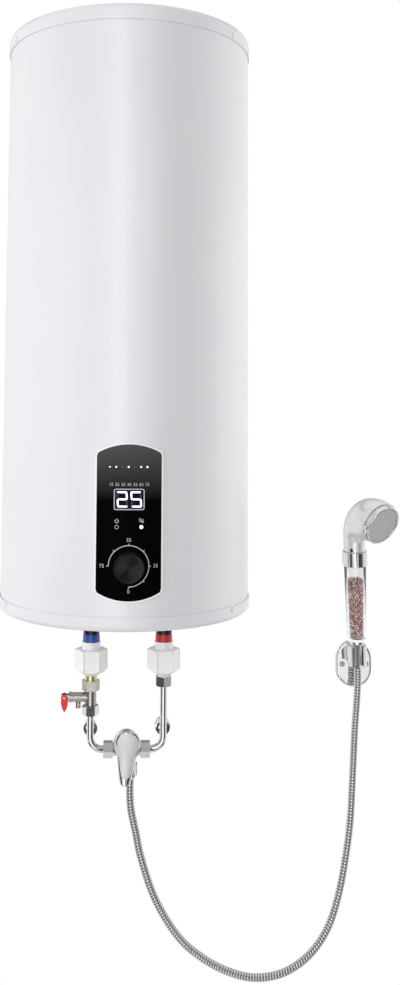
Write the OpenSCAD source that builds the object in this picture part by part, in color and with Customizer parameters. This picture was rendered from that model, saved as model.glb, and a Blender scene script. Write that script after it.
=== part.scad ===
// Wall-hung storage water heater with its safety valve, mixer tap, hose and hand shower.
// Origin: middle of the wall bolt line. +Z is up, the wall is the plane y = 0, the front faces -Y.

/* [Tank body] */
// Outer diameter of the painted jacket
body_d = 340; // [330:1:350]
// Overall height with both covers
body_h = 790; // [760:5:820]
// Thickness of the jacket sheet
sheet_t = 1; // [0.8:0.1:1.2]
// Gap between jacket and wall
wall_gap = 15; // [12:1:25]
// Drop from the top of the body to the wall bolts
hang_drop = 165; // [140:5:200]
// Foam between jacket and inner tank
foam_t = 18; // [18:0.5:22]
// Wall of the inner tank
tank_wall = 2; // [1.5:0.1:3]
// Crown radius of the dished tank ends
crown_r = 280; // [260:5:320]
// Room above the upper crown
top_room = 30; // [26:1:40]
// Room below the lower crown
base_room = 60; // [56:1:70]

/* [Covers] */
// Height of the top cover
cover_h = 22; // [20:0.5:28]
// Height of the bottom cover
base_cover_h = 18; // [17:0.5:24]
// Thickness of the cover ends
cover_t = 2.5; // [2:0.1:3]
// Thickness of the cover skirts
skirt_t = 1.4; // [1.2:0.1:2]
// Rounding of the cover edges
cover_round = 7; // [5:0.5:8]
// Screws round each cover
cover_screw_n = 3; // [3:1:6]
// Diameter of the cover screw shanks
cover_screw_d = 3.5; // [3:0.1:4]
// Angle of the first cover screw from the front
cover_screw_turn = -67; // [-75:1:-60]

/* [Wall brackets] */
// Width of the bracket plates
bracket_w = 220; // [200:5:240]
// Height of the bracket plates
bracket_h = 44; // [40:1:60]
// Thickness of the bracket plates
bracket_t = 4; // [3:0.5:5]
// Spacing of the wall bolts
bolt_pitch = 160; // [140:5:180]
// Diameter of the wall bolt holes
bolt_d = 11; // [9:0.5:13]
// Distance of the bracket legs from the middle
leg_x = 55; // [45:1:60]
// Thickness of the bracket legs
leg_t = 5; // [4:0.5:6]
// Distance from the upper to the lower bolt line
bracket_drop = 480; // [420:5:520]

/* [Flange] */
// Distance of the flange from the tank axis towards the front
flange_out = 62; // [60:1:66]
// Radius of the flange neck
neck_r = 48; // [47:0.5:50]
// Wall of the flange neck
neck_wall = 12; // [11:0.5:13]
// Length of the flange neck below the crown
neck_h = 16; // [14:0.5:18]
// Thickness of the gasket
gasket_t = 2.5; // [2:0.1:3]
// Thickness of the flange plate
flange_t = 6; // [5:0.5:7]
// Number of flange bolts
flange_bolt_n = 6; // [5:1:8]
// Diameter of the flange bolts
flange_bolt_d = 6; // [5:0.5:6]
// Length of the heating element above the flange
element_h = 230; // [180:5:300]
// Diameter of the heating element rod
element_d = 8; // [7:0.5:9]
// Half spacing of the element legs
element_x = 16; // [14:0.5:18]
// Length of the anode rod
anode_h = 260; // [200:5:320]
// Diameter of the anode rod
anode_d = 20; // [16:1:22]

/* [Control panel] */
// Drop from the top of the body to the middle of the panel
panel_drop = 657; // [640:1:670]
// Width of the panel face
panel_w = 80; // [76:1:90]
// Height of the panel's straight sides
panel_h = 170; // [168:1:180]
// Rise of the panel's arched ends
panel_arc = 10; // [6:0.5:14]
// Width of the white bezel
bezel_w = 2; // [1.5:0.1:3]
// Thickness of the black face
face_t = 1.2; // [1:0.1:1.6]
// Width of the tray behind the panel
tray_w = 58; // [54:1:60]
// Height of the tray behind the panel
tray_h = 160; // [156:1:164]
// Depth of the tray behind the jacket
tray_d = 14; // [13:0.5:15]
// Width of the display trim
display_w = 38; // [34:1:42]
// Height of the display trim
display_h = 26; // [22:1:30]
// Number of temperature lamps
lamp_n = 7; // [5:1:7]
// Pitch of the temperature lamps
lamp_pitch = 7.7; // [7:0.1:8]
// Diameter of the temperature lamps
lamp_d = 3; // [2:0.1:4]
// Half spacing of the status lamps
status_x = 15.2; // [13:0.1:18]
// Diameter of the status lamps
status_d = 5; // [4:0.1:6]
// Height of the temperature lamps above the panel middle
lamp_z = 67.5; // [66:0.5:69]
// Height of the display above the panel middle
display_z = 28; // [26:0.5:32]
// Status lamps below the panel middle
status_z = -5.5; // [-7:0.5:-4]
// Knob axis below the panel middle
knob_z = -54; // [-58:0.5:-52]
// Diameter of the temperature knob
knob_d = 38; // [34:0.5:40]
// Height of the temperature knob
knob_h = 11; // [10:0.5:16]
// Diameter of the knob shaft
knob_shaft_d = 6; // [5:0.1:7]

/* [Ports and unions] */
// Spacing of the cold and hot ports
port_pitch = 100; // [99:1:106]
// Offset of the pair of ports to the right
port_shift = 5; // [0:1:6]
// Outside diameter of the threaded port nipples
nipple_d = 20.9; // [20:0.1:21.5]
// Wall of the port nipples
nipple_wall = 2.5; // [2:0.1:3]
// Wall of the coloured collars
collar_wall = 1; // [0.8:0.1:1.2]
// Wall of the sleeves above the coloured collars
collar_sleeve = 0.4; // [0.3:0.1:0.6]
// Height of the coloured collars
collar_h = 8; // [6:0.5:10]
// Length of the collars below the body
collar_len = 49; // [44:0.5:54]
// Wall of the union sleeves
sleeve_wall = 2; // [1.6:0.1:2.5]
// Bare length of the union sleeves
sleeve_show = 10; // [8:0.5:12]
// Radius of the union nut corners
union_nut_r = 22; // [21.5:0.1:24]
// Height of the union nuts
union_nut_h = 29.5; // [28:0.5:34]
// Radius of the union thread
union_thread_r = 16.5; // [16:0.1:17]
// Height of the cone under the union nuts
tail_cone_h = 6; // [5:0.5:9]
// Radius at the lower end of the unions
tail_r = 8.9; // [8.7:0.1:9.4]

/* [Safety valve] */
// Length of brass that shows
brass_h = 6.5; // [6:0.5:9]
// Corner radius of the valve's hexagon
valve_hex_r = 12.2; // [11.5:0.1:13]
// Height of the valve's hexagon
valve_hex_h = 13.5; // [10:0.5:15]
// Radius of the valve body
valve_r = 7.8; // [7.6:0.1:8.2]
// Length of the valve body
valve_h = 20; // [19.5:0.5:24]
// Branch axis below the hexagon
branch_drop = 9.5; // [8:0.5:10]
// Radius of the side branch
branch_r = 6.4; // [6.2:0.1:7]
// Reach of the side branch from the valve axis
branch_len = 30; // [28:0.5:33]
// Radius of the bore in the side branch
branch_bore = 4.6; // [4.4:0.1:4.8]
// Reach of the drain spout from the valve axis
spout_x = 17; // [15:0.5:19]
// Radius of the drain spout
spout_r = 3.4; // [3:0.1:3.8]
// Length of the drain spout below the branch axis
spout_h = 14.5; // [12:0.5:17]
// Radius of the relief lever's hub
lever_hub_r = 4.2; // [4:0.1:4.5]
// Length of the relief lever
relief_len = 24; // [20:0.5:26]
// Width of the relief lever
relief_w = 13; // [12:0.5:14]
// Radius of the relief lever's pin
relief_pin_r = 1.5; // [1.3:0.1:1.7]
// Travel of the relief stem
stem_travel = 2.5; // [2:0.1:2.8]
// Turns of the relief spring
spring_n = 4; // [3:1:5]
// Wire diameter of the relief spring
spring_wire = 1; // [0.8:0.1:1.1]

/* [Pipes] */
// Outside radius of the chrome pipes
pipe_r = 4.8; // [4.6:0.1:5.2]
// Wall of the chrome pipes
pipe_wall = 1; // [0.8:0.1:1.5]
// Bend radius of the chrome pipes
bend_r = 17.5; // [15:0.5:17.5]
// Straight of the cold pipe between its nut and its bend
pipe_straight = 29; // [26:0.5:32]
// Corner radius of the pipe nuts
pipe_nut_r = 11.7; // [11.4:0.1:12.4]
// Height of the pipe nuts
pipe_nut_h = 13; // [12:0.5:13]
// Radius of the threads inside the pipe nuts
pipe_thread_r = 8.3; // [8:0.1:8.5]
// Height of the rear ports above the bends
rear_port_rise = 8; // [6:0.5:12]
// Radius of the rear port discs
rear_disc_r = 9.5; // [9.2:0.1:10]
// Length of the rear port threads
rear_thread_len = 13; // [11:0.5:16]

/* [Mixer] */
// Height of the mixer body above the pipes
mixer_rise = 8.5; // [6:0.5:9]
// Radius of the mixer body
mixer_r = 18.2; // [17.6:0.1:18.6]
// Reach of the mixer body behind its axis
mixer_back = 6; // [5:0.5:8]
// Reach of the mixer body in front of its axis
mixer_front = 16; // [15:0.5:18]
// Radius of the mixer cartridge
cartridge_r = 12.5; // [12:0.1:13]
// Radius of the mixer spindle
spindle_r = 4; // [3.5:0.1:4.4]
// Radius of the spindle's cross pin
spindle_pin_r = 1.5; // [1.3:0.1:1.7]
// Radius of the mixer lever's round head
lever_head_r = 16; // [15.5:0.1:17]
// Height of the lever head above the spindle
lever_heel = 8.5; // [6:0.5:9]
// Reach of the lever below the spindle
lever_reach = 43.5; // [38:0.5:48]
// Radius of the lever's tip
lever_tip_r = 7; // [6:0.1:8]
// Thickness of the lever head
lever_head_t = 13.5; // [13:0.5:15]
// Lift of the mixer lever in degrees
lever_lift = 20; // [15:1:20]
// Turn of the mixer lever at rest in degrees
lever_turn = 4; // [0:1:8]
// Offset of the hose outlet to the right
outlet_x = 5; // [0:0.5:6]
// Drop from the pipes to the hose nut
outlet_drop = 19; // [18:0.5:22]
// Radius of the hose outlet thread
outlet_r = 8; // [7.6:0.1:8.4]

/* [Hose] */
// Outside diameter of the hose
hose_d = 11; // [10:0.1:12]
// Depth of the hose ribs
rib_depth = 0.7; // [0.4:0.1:0.9]
// Diameter of the hose bore
hose_bore = 7; // [6:0.1:8]
// Number of hose ribs
rib_n = 200; // [80:2:200]
// Outer radius of the hose nut
hose_nut_r = 10; // [9.6:0.1:10.6]
// Height of the hose nut
hose_nut_h = 15; // [13:0.5:17]
// Length of the ferrule under the hose nut
ferrule_h = 11; // [9:0.5:13]

/* [Hand shower] */
// Hose end of the hand shower, to the right of the bolt line's middle
shower_x = 366; // [340:1:400]
// Hose end of the hand shower, in front of the wall
shower_y = 29; // [28:0.5:31]
// Hose end of the hand shower, below the bolt line
shower_z = 752; // [700:1:800]
// Forward lean of the hand shower in degrees
shower_lean = 6; // [4:0.5:8]
// Sideways lean of the hand shower in degrees
shower_side = -2.5; // [-4:0.5:0]
// Length of the conical hose end
cone_h = 43; // [40:0.5:46]
// Lower radius of the conical hose end
cone_r0 = 7; // [6.6:0.1:7.4]
// Upper radius of the conical hose end
cone_r1 = 11.5; // [11:0.1:12]
// Length of the clear handle
handle_h = 117; // [108:1:122]
// Lower radius of the clear handle
handle_r0 = 14.2; // [13.8:0.1:15]
// Upper radius of the clear handle
handle_r1 = 17; // [16.6:0.1:17.6]
// Wall of the clear handle
handle_wall = 2.4; // [2:0.1:3]
// Height of the chrome collar
band_h = 22.5; // [20:0.5:26]
// Radius of the chrome collar
band_r = 18.8; // [18.4:0.1:19.5]
// Radius of the head's neck
neck_tube_r = 16.5; // [16:0.1:17]
// Turn of the head towards the right in degrees
head_turn = 29; // [20:1:40]
// Downward tilt of the spray face in degrees
face_tilt = 22; // [18:1:28]
// Reach of the spray face from the handle axis
face_out = 63; // [60:0.5:66]
// Height of the spray face above the collar
face_rise = 49; // [46:0.5:52]
// Radius of the bend where the neck turns over
heel_r = 25; // [24:0.5:26]
// Reach of that bend from the handle axis
heel_out = 12; // [10:0.5:14]
// Height of that bend above the collar
heel_rise = 40; // [38:0.5:42]
// Radius of the head's bulb
bulb_r = 29; // [28:0.5:30]
// Reach of the bulb from the handle axis
bulb_out = 40; // [38:0.5:42]
// Height of the bulb above the collar
bulb_rise = 59; // [57:0.5:61]
// Radius of the head's rim behind the spray ring
rim_r = 33; // [32:0.5:34]
// Height of the straight neck above the collar
neck_rise = 18; // [15:0.5:20]
// Outer radius of the spray ring
spray_r = 30.7; // [30:0.1:31.5]
// Depth of the spray ring
spray_t = 9; // [8:0.5:10]
// Radius of the spray face plate
plate_r = 27.3; // [26.5:0.1:28]

/* [Wall holder] */
// Width of the oval holder plate
holder_w = 56; // [52:1:60]
// Height of the oval holder plate
holder_h = 71; // [66:1:76]
// Thickness of the holder plate
holder_t = 8; // [7:0.5:9]
// Height of the cradle
cradle_h = 32; // [28:0.5:34]
// Outer radius of the cradle
cradle_r = 14.5; // [14:0.1:15]
// Width of the cradle's front slot
slot_w = 13; // [12.5:0.1:14]
// Half spacing of the holder screws
holder_screw_x = 19; // [18:0.5:20]

/* [Clearances] */
// Gap between pieces that are fixed together
seat_gap = 0.2; // [0.1:0.05:0.3]
// Gap between pieces that move past each other
move_gap = 0.4; // [0.3:0.05:0.5]
// Radial gap of shafts and pins in their bores
run_gap = 0.05; // [0.03:0.01:0.08]

/* [Hidden] */
$fn = 96;
eps = 0.01;
far = 1000;

// Places down the tank and its pipework
body_r = body_d / 2;
tank_y = -(body_r + wall_gap);
z_top = hang_drop;
z_bot = hang_drop - body_h;
cover_r = body_r + seat_gap + skirt_t;
jacket_top = z_top - cover_round - cover_t;
jacket_bot = z_bot + cover_round + cover_t;
tank_r = body_r - sheet_t - foam_t;
crown_h = crown_r - sqrt(crown_r * crown_r - tank_r * tank_r);
tank_z0 = z_bot + base_room + crown_h;
tank_z1 = z_top - top_room - crown_h;
z_neck = z_bot + base_room - neck_h;
z_plate = z_neck - gasket_t - flange_t;
cold_x = port_shift - port_pitch / 2;
hot_x = port_shift + port_pitch / 2;
nipple_r = nipple_d / 2;
collar_bore = nipple_r + seat_gap;
sleeve_r = nipple_r + seat_gap + sleeve_wall;
z_collar = z_bot - collar_len;
z_nut_top = z_collar - sleeve_show;
z_nut_bot = z_nut_top - union_nut_h;
z_tail = z_nut_bot - tail_cone_h;
z_valve = z_tail - brass_h;
z_valve_body = z_valve - valve_hex_h;
z_branch = z_valve_body - branch_drop;
z_valve_end = z_valve_body - valve_h;
z_cold_pipe = z_valve_end - pipe_nut_h;
z_mixer = z_cold_pipe - pipe_straight - bend_r;
z_rear_port = z_mixer + bend_r + rear_port_rise;
z_body = z_mixer + mixer_rise;
z_panel = z_top - panel_drop;
mixer_x = port_shift;
water_r = 5;

// Control panel layers, as radii about the tank axis
panel_back = body_r + seat_gap;
bezel_back_t = 0.8;
face_back = panel_back + bezel_back_t;
face_front = face_back + face_t;
tray_back = body_r - sheet_t - tray_d;
tray_wall = 1.5;
board_gap = 3;
board_t = 1.6;
board_front = tray_back + tray_wall + board_gap + board_t;
board_margin = 3;

// Safety valve: places along the branch, measured from the valve axis
bonnet_t = 4;
stem_r = 1.5;
ear_t = 2;
ear_half = 3.5;
ear_in = stem_r + move_gap + 0.5;
cheek_in = ear_in + ear_t + move_gap;
pin_len = cheek_in + 1.2;
lever_x = branch_len + 1.3 * lever_hub_r + 2 * move_gap;
ear_len = lever_x + lever_hub_r;
spring_r = branch_bore - spring_wire / 2 - run_gap - 0.3;
disc_r = branch_bore - 0.3;
disc_t = 2;
disc_x = 12;
spring_x0 = disc_x + disc_t + spring_wire / 2 + seat_gap;
spring_x1 = branch_len - bonnet_t - spring_wire / 2 - seat_gap;

// Mixer places in front of its axis
mixer_nut_x = mixer_r + 0.8;
cover_plate_t = 3;
lever_back = mixer_front + cover_plate_t + move_gap;
pivot_out = lever_back + 4;
lever_out = lever_back + lever_head_t;
spindle_tip = pivot_out + spindle_r;
cartridge_l = mixer_front;

// Hose ends
z_outlet = z_mixer - outlet_drop;
z_hose = z_outlet - hose_nut_h - ferrule_h;

// Route of the hose: its first half is measured from the hose nut
HOSE_FALL = [
    [0, 0, 0], [0, 0, -11], [0.5, 0.5, -24], [2.2, 2.6, -38], [5.5, 6.4, -54], [9.5, 11, -72],
    [17, 19, -107], [37, 30, -166], [69, 41, -221], [103, 50, -255], [143, 58, -280], [183, 65, -293]
];
// Its second half is measured from the hose end of the hand shower
HOSE_RISE = [
    [-131, -83, -403], [-93, -75, -384], [-65, -67, -353], [-47, -58, -314], [-34, -49, -268],
    [-23, -38, -216], [-16, -27, -157], [-8, -12, -88], [-3.7, -5.2, -59], [-0.6, -0.2, -36],
    [0.4, 1.3, -24], [0.5, 1.15, -11], [0.02, 0.05, -0.5]
];
HOSE = concat(
    [for (p = HOSE_FALL) p + [mixer_x + outlet_x, tank_y, z_hose]],
    [for (p = HOSE_RISE) p + [shower_x, -shower_y, -shower_z]]
);

// Shared shapes

module ring(r_out, r_in, h) {
    difference() {
        cylinder(r = r_out, h = h);
        translate([0, 0, -eps]) cylinder(r = r_in, h = h + 2 * eps);
    }
}

// A cylinder's half outline with its upper edge rounded
module rounded_end(r, h, round_r) {
    square([r - round_r, h]);
    square([r, h - round_r]);
    translate([r - round_r, h - round_r]) intersection() {
        circle(r = round_r);
        square(2 * round_r);
    }
}

module at_tank() {
    translate([0, tank_y, 0]) children();
}

// Places a child on the tank at an angle from the front, its +Z pointing outwards
module around(angle, r, z) {
    at_tank() rotate([0, 0, angle]) translate([0, -r, z]) rotate([90, 0, 0]) children();
}

// Places a child on the front of the tank, its X and Y along the panel and +Z outwards
module on_panel(x, z) {
    translate([x, tank_y, z_panel + z]) rotate([90, 0, 0]) children();
}

// Swept tube: rings of points joined by triangles, with both ends closed
function ring_points(c, t, r, sides) =
    let (
        side = norm(cross(t, [0, 1, 0])) > 0.05 ? cross(t, [0, 1, 0]) : cross(t, [1, 0, 0]),
        u = side / norm(side),
        v = cross(u, t)
    )
    [for (k = [0 : sides - 1]) c + r * (cos(360 * k / sides) * u + sin(360 * k / sides) * v)];

function unit(v) = v / norm(v);

// Smooth curve through a list of points
function clamped(path, i) = path[min(max(i, 0), len(path) - 1)];
function on_curve(path, i, t) =
    let (a = clamped(path, i - 1), b = path[i], c = clamped(path, i + 1), d = clamped(path, i + 2))
    0.5 * (2 * b + (c - a) * t + (2 * a - 5 * b + 4 * c - d) * t * t
        + (3 * b - a - 3 * c + d) * t * t * t);
function path_lengths(path, i = 0, sum = 0) =
    i == len(path) - 1 ? [sum]
        : concat([sum], path_lengths(path, i + 1, sum + norm(path[i + 1] - path[i])));
function at_length(path, sums, s) =
    let (
        i = max([for (k = [0 : len(sums) - 2]) if (sums[k] <= s + eps) k]),
        t = min(1, (s - sums[i]) / (sums[i + 1] - sums[i]))
    )
    on_curve(path, i, t);

function strip(a, b, sides, flip) = [
    for (k = [0 : sides - 1])
        let (p = a + k, q = a + (k + 1) % sides, m = b + k, n = b + (k + 1) % sides)
        each flip ? [[p, m, q], [q, m, n]] : [[p, q, m], [q, n, m]]
];

// Ribbed hose with a bore, along a route
module ribbed_tube(path, r_crest, r_root, r_bore, ribs, sides) {
    sums = path_lengths(path);
    total = sums[len(sums) - 1];
    rings = 2 * ribs + 1;
    bore_step = 4;
    places = [for (i = [0 : rings - 1]) at_length(path, sums, total * i / (rings - 1))];
    ends = [unit(path[1] - path[0]), unit(path[len(path) - 1] - path[len(path) - 2])];
    ways = [
        for (i = [0 : rings - 1])
            i == 0 ? ends[0] : i == rings - 1 ? ends[1] : unit(places[i + 1] - places[i - 1])
    ];
    bores = [for (i = [0 : bore_step : rings - 1]) i];
    outer = [
        for (i = [0 : rings - 1])
            each ring_points(places[i], ways[i], i % 2 == 0 ? r_root : r_crest, sides)
    ];
    inner = [for (i = bores) each ring_points(places[i], ways[i], r_bore, sides)];
    base = len(outer);
    outer_faces = [for (i = [0 : rings - 2]) each strip(i * sides, (i + 1) * sides, sides, false)];
    inner_faces = [
        for (i = [0 : len(bores) - 2])
            each strip(base + i * sides, base + (i + 1) * sides, sides, true)
    ];
    near_end = strip(0, base, sides, true);
    far_end = strip((rings - 1) * sides, base + (len(bores) - 1) * sides, sides, false);
    polyhedron(
        points = concat(outer, inner),
        faces = concat(outer_faces, inner_faces, near_end, far_end)
    );
}

// Coil spring along +Z
module coil(r, wire, height, turns) {
    steps = turns * 8;
    sides = 6;
    places = [
        for (i = [0 : steps])
            [r * cos(45 * i), r * sin(45 * i), height * i / steps]
    ];
    ways = [
        for (i = [0 : steps])
            unit([-r * sin(45 * i), r * cos(45 * i), height / (turns * 2 * PI)])
    ];
    skin = [for (i = [0 : steps]) each ring_points(places[i], ways[i], wire / 2, sides)];
    sides_faces = [for (i = [0 : steps - 1]) each strip(i * sides, (i + 1) * sides, sides, false)];
    near_cap = [for (k = [1 : sides - 2]) [0, k + 1, k]];
    last = steps * sides;
    far_cap = [for (k = [1 : sides - 2]) [last, last + k, last + k + 1]];
    polyhedron(points = skin, faces = concat(sides_faces, near_cap, far_cap));
    echo(spring_gap = height / turns - wire);
}

// Body and covers

module cover_shell(h) {
    rotate_extrude() difference() {
        rounded_end(cover_r, h, cover_round);
        rounded_end(cover_r - skirt_t, h - cover_t, cover_round - skirt_t);
    }
}

module cover_screw_places(z) {
    for (i = [0 : cover_screw_n - 1])
        around(cover_screw_turn + i * 360 / cover_screw_n, body_r, z) children();
}

module both_screw_rows() {
    cover_screw_places((jacket_top + z_top - cover_h) / 2) children();
    cover_screw_places((jacket_bot + z_bot + base_cover_h) / 2) children();
}

module screw_holes() {
    both_screw_rows() translate([0, 0, -10]) cylinder(d = cover_screw_d + 2 * seat_gap, h = 20);
}

module leg_slot(z, extra) {
    for (s = [-1, 1])
        translate([s * leg_x - leg_t / 2 - extra, tank_y, z - bracket_h / 2 - extra])
            cube([leg_t + 2 * extra, far, bracket_h + 2 * extra]);
}

module both_leg_slots() {
    leg_slot(0, seat_gap);
    leg_slot(-bracket_drop, seat_gap);
}

module panel_outline(extra) {
    w = panel_w + 2 * extra;
    h = panel_h;
    s = panel_arc + extra;
    arc_r = (w * w / 4 + s * s) / (2 * s);
    intersection() {
        translate([-w / 2, -h]) square([w, 2 * h]);
        union() {
            translate([0, h / 2 + s - arc_r]) circle(r = arc_r);
            translate([0, arc_r - h / 2 - s]) circle(r = arc_r);
            translate([-w, (arc_r - h) / 2]) square([2 * w, h - arc_r]);
        }
    }
}

module tray_block(extra, back) {
    on_panel(0, 0) translate([-tray_w / 2 - extra, -tray_h / 2 - extra, back])
        cube([tray_w + 2 * extra, tray_h + 2 * extra, far]);
}

module jacket() {
    color("white") difference() {
        at_tank() translate([0, 0, jacket_bot])
            ring(body_r, body_r - sheet_t, jacket_top - jacket_bot);
        screw_holes();
        both_leg_slots();
        tray_block(seat_gap, 0);
    }
}

module top_cover() {
    color("white") difference() {
        at_tank() translate([0, 0, z_top - cover_h]) cover_shell(cover_h);
        screw_holes();
    }
}

module port_places() {
    for (x = [cold_x, hot_x]) translate([x, tank_y, 0]) children();
}

gland_out = 110;
gland_r = 8;
module at_gland() {
    translate([0, tank_y + gland_out, z_bot]) children();
}

module bottom_cover() {
    color("white") difference() {
        at_tank() translate([0, 0, z_bot + base_cover_h]) mirror([0, 0, 1])
            cover_shell(base_cover_h);
        screw_holes();
        port_places() translate([0, 0, z_bot - 1])
            cylinder(r = collar_bore + collar_sleeve + seat_gap, h = cover_t + 2);
        at_gland() translate([0, 0, -1]) cylinder(r = gland_r + seat_gap, h = cover_t + 2);
    }
}

module cover_screws() {
    head_r = cover_screw_d;
    color("whitesmoke") both_screw_rows() {
        translate([0, 0, -sheet_t - 5])
            cylinder(d = cover_screw_d, h = sheet_t + 5 + seat_gap + skirt_t);
        translate([0, 0, seat_gap + skirt_t]) rotate_extrude() rounded_end(head_r, 1.6, 1.2);
    }
}

// Inner tank, its brackets and its foam

module tank_outline(inset) {
    r = tank_r - inset;
    centre = sqrt(crown_r * crown_r - tank_r * tank_r);
    translate([0, tank_z0]) square([r, tank_z1 - tank_z0]);
    intersection() {
        translate([0, tank_z1 - centre]) circle(r = crown_r - inset);
        translate([0, tank_z1 - 1]) square([r, crown_h + 2]);
    }
    intersection() {
        translate([0, tank_z0 + centre]) circle(r = crown_r - inset);
        translate([0, tank_z0 - crown_h - 1]) square([r, crown_h + 2]);
    }
}

module tank_solid(inset) {
    at_tank() rotate_extrude($fn = 180) tank_outline(inset);
}

module at_flange(z) {
    translate([0, tank_y - flange_out, z]) children();
}

module flange_bolt_places() {
    for (i = [0 : flange_bolt_n - 1])
        rotate([0, 0, 30 + i * 360 / flange_bolt_n])
            translate([neck_r - neck_wall / 2, 0, 0]) children();
}

module inner_tank() {
    color("steelblue") difference() {
        union() {
            tank_solid(0);
            at_flange(z_neck) cylinder(r = neck_r, h = neck_h + crown_h);
        }
        tank_solid(tank_wall);
        at_flange(z_neck - 1) cylinder(r = neck_r - neck_wall, h = neck_h + crown_h + 1);
        port_places() translate([0, 0, z_bot])
            cylinder(r = nipple_r + seat_gap, h = base_room + crown_h);
        at_flange(z_neck - 1) flange_bolt_places()
            cylinder(d = flange_bolt_d + 2 * seat_gap, h = neck_h - 2);
    }
}

module foam_insulation() {
    color("khaki") difference() {
        at_tank() translate([0, 0, jacket_bot + 2])
            cylinder(r = body_r - sheet_t - seat_gap, h = jacket_top - jacket_bot - 4);
        tank_solid(-seat_gap);
        at_flange(z_bot) cylinder(r = neck_r + 10, h = base_room + crown_h);
        port_places() translate([0, 0, z_bot])
            cylinder(r = nipple_r + seat_gap, h = base_room + crown_h);
        both_leg_slots();
        tray_block(2 * seat_gap, tray_back - 2 * seat_gap);
        screw_holes();
        both_screw_rows() translate([0, 0, -sheet_t - 7])
            cylinder(d = cover_screw_d + 2, h = 10);
        translate([-far / 2, tank_y, z_bot])
            cube([far, far, base_room - neck_h]);
    }
}

module wall_plate(z) {
    color("silver") difference() {
        union() {
            translate([-bracket_w / 2, -bracket_t, z - bracket_h / 2])
                cube([bracket_w, bracket_t, bracket_h]);
            intersection() {
                leg_slot(z, 0);
                translate([-far / 2, tank_y, z - far / 2])
                    cube([far, -tank_y - bracket_t + eps, far]);
            }
        }
        at_tank() translate([0, 0, z - bracket_h])
            cylinder(r = tank_r + seat_gap, h = 2 * bracket_h);
        for (s = [-1, 1])
            translate([s * bolt_pitch / 2, 1, z]) rotate([90, 0, 0])
                cylinder(d = bolt_d, h = bracket_t + 2);
    }
}

module wall_bracket() {
    wall_plate(0);
}

module lower_bracket() {
    wall_plate(-bracket_drop);
}

// Flange with its heater

pocket_r = 4.5;
pocket_y = -24;
pocket_h = 180;
anode_y = 16;
element_y = -8;
stud_r = 3;
cutout_x = -22;
cutout_y = 14;

module element_holes(extra) {
    for (s = [-1, 1])
        translate([s * element_x, element_y, 0])
            cylinder(d = element_d + 2 * extra, h = far, center = true);
    translate([0, anode_y, 0]) cylinder(r = stud_r + extra, h = far, center = true);
}

module flange_plate() {
    color("lightsteelblue") at_flange(z_plate) difference() {
        union() {
            cylinder(r = neck_r + 2, h = flange_t);
            translate([0, pocket_y, 0]) cylinder(r = pocket_r, h = pocket_h);
        }
        translate([0, pocket_y, -1]) cylinder(r = pocket_r - 1, h = pocket_h - 1);
        element_holes(seat_gap);
        flange_bolt_places() translate([0, 0, -1])
            cylinder(d = flange_bolt_d + 2 * seat_gap, h = flange_t + 2);
    }
}

module flange_gasket() {
    color("dimgray") at_flange(z_neck - gasket_t) difference() {
        ring(neck_r + 1, neck_r - neck_wall, gasket_t);
        flange_bolt_places() translate([0, 0, -1])
            cylinder(d = flange_bolt_d + 2 * seat_gap, h = gasket_t + 2);
    }
}

module flange_bolts() {
    color("silver") at_flange(z_plate) flange_bolt_places() {
        translate([0, 0, -4]) cylinder(r = flange_bolt_d * 0.9, h = 4, $fn = 6);
        translate([0, 0, -eps]) cylinder(d = flange_bolt_d, h = flange_t + gasket_t + 10);
    }
}

module heating_element() {
    foot = 12;
    color("darkkhaki") at_flange(z_plate) translate([0, element_y, 0]) {
        for (s = [-1, 1])
            translate([s * element_x, 0, -foot]) cylinder(d = element_d, h = element_h + foot);
        translate([0, 0, element_h]) rotate([90, 0, 0])
            rotate_extrude(angle = 180) translate([element_x, 0]) circle(d = element_d);
    }
}

module anode_rod() {
    color("gainsboro") at_flange(z_plate) translate([0, anode_y, 0]) {
        translate([0, 0, -8]) cylinder(r = stud_r, h = flange_t + 8 + 1);
        translate([0, 0, flange_t]) cylinder(d = anode_d, h = anode_h);
    }
}

module port_nipple(rise, riser_r) {
    translate([0, 0, z_collar - sleeve_show])
        ring(nipple_r, nipple_r - nipple_wall, sleeve_show + collar_len + base_room + 8);
    translate([0, 0, z_bot + base_room + 8]) ring(riser_r, riser_r - 2, rise);
    translate([0, 0, z_bot + base_room + 8]) ring(nipple_r, riser_r - 2, 2);
}

module cold_inlet_pipe() {
    rise = 40;
    color("silver") translate([cold_x, tank_y, 0]) {
        port_nipple(rise, nipple_r - 1);
        translate([0, 0, z_bot + base_room + 8 + rise]) cylinder(r = nipple_r + 4, h = 3);
    }
}

module hot_outlet_pipe() {
    color("silver") translate([hot_x, tank_y, 0])
        port_nipple(tank_z1 - z_bot - base_room, nipple_r - 3);
}

module safety_cutout() {
    color("ivory") at_flange(z_plate) translate([cutout_x, cutout_y, 0]) {
        translate([0, 0, -10]) cylinder(r = 7, h = 10);
        for (s = [-1, 1]) translate([s * 4 - 1.5, -0.4, -16]) cube([3, 0.8, 6 + eps]);
    }
}

terminal_x = 48;
terminal_out = 50;
terminal_w = 44;
terminal_d = 18;
terminal_h = 14;
terminal_pitch = 14;
module terminal_block() {
    wire_r = 3;
    floor_z = z_bot + cover_t;
    color("wheat") translate([terminal_x, tank_y + terminal_out, floor_z]) difference() {
        cube([terminal_w, terminal_d, terminal_h]);
        for (i = [-1 : 1])
            translate([terminal_w / 2 + terminal_pitch * i, terminal_d / 2, terminal_h - 9])
                cylinder(r = wire_r, h = terminal_h);
    }
}

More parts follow.
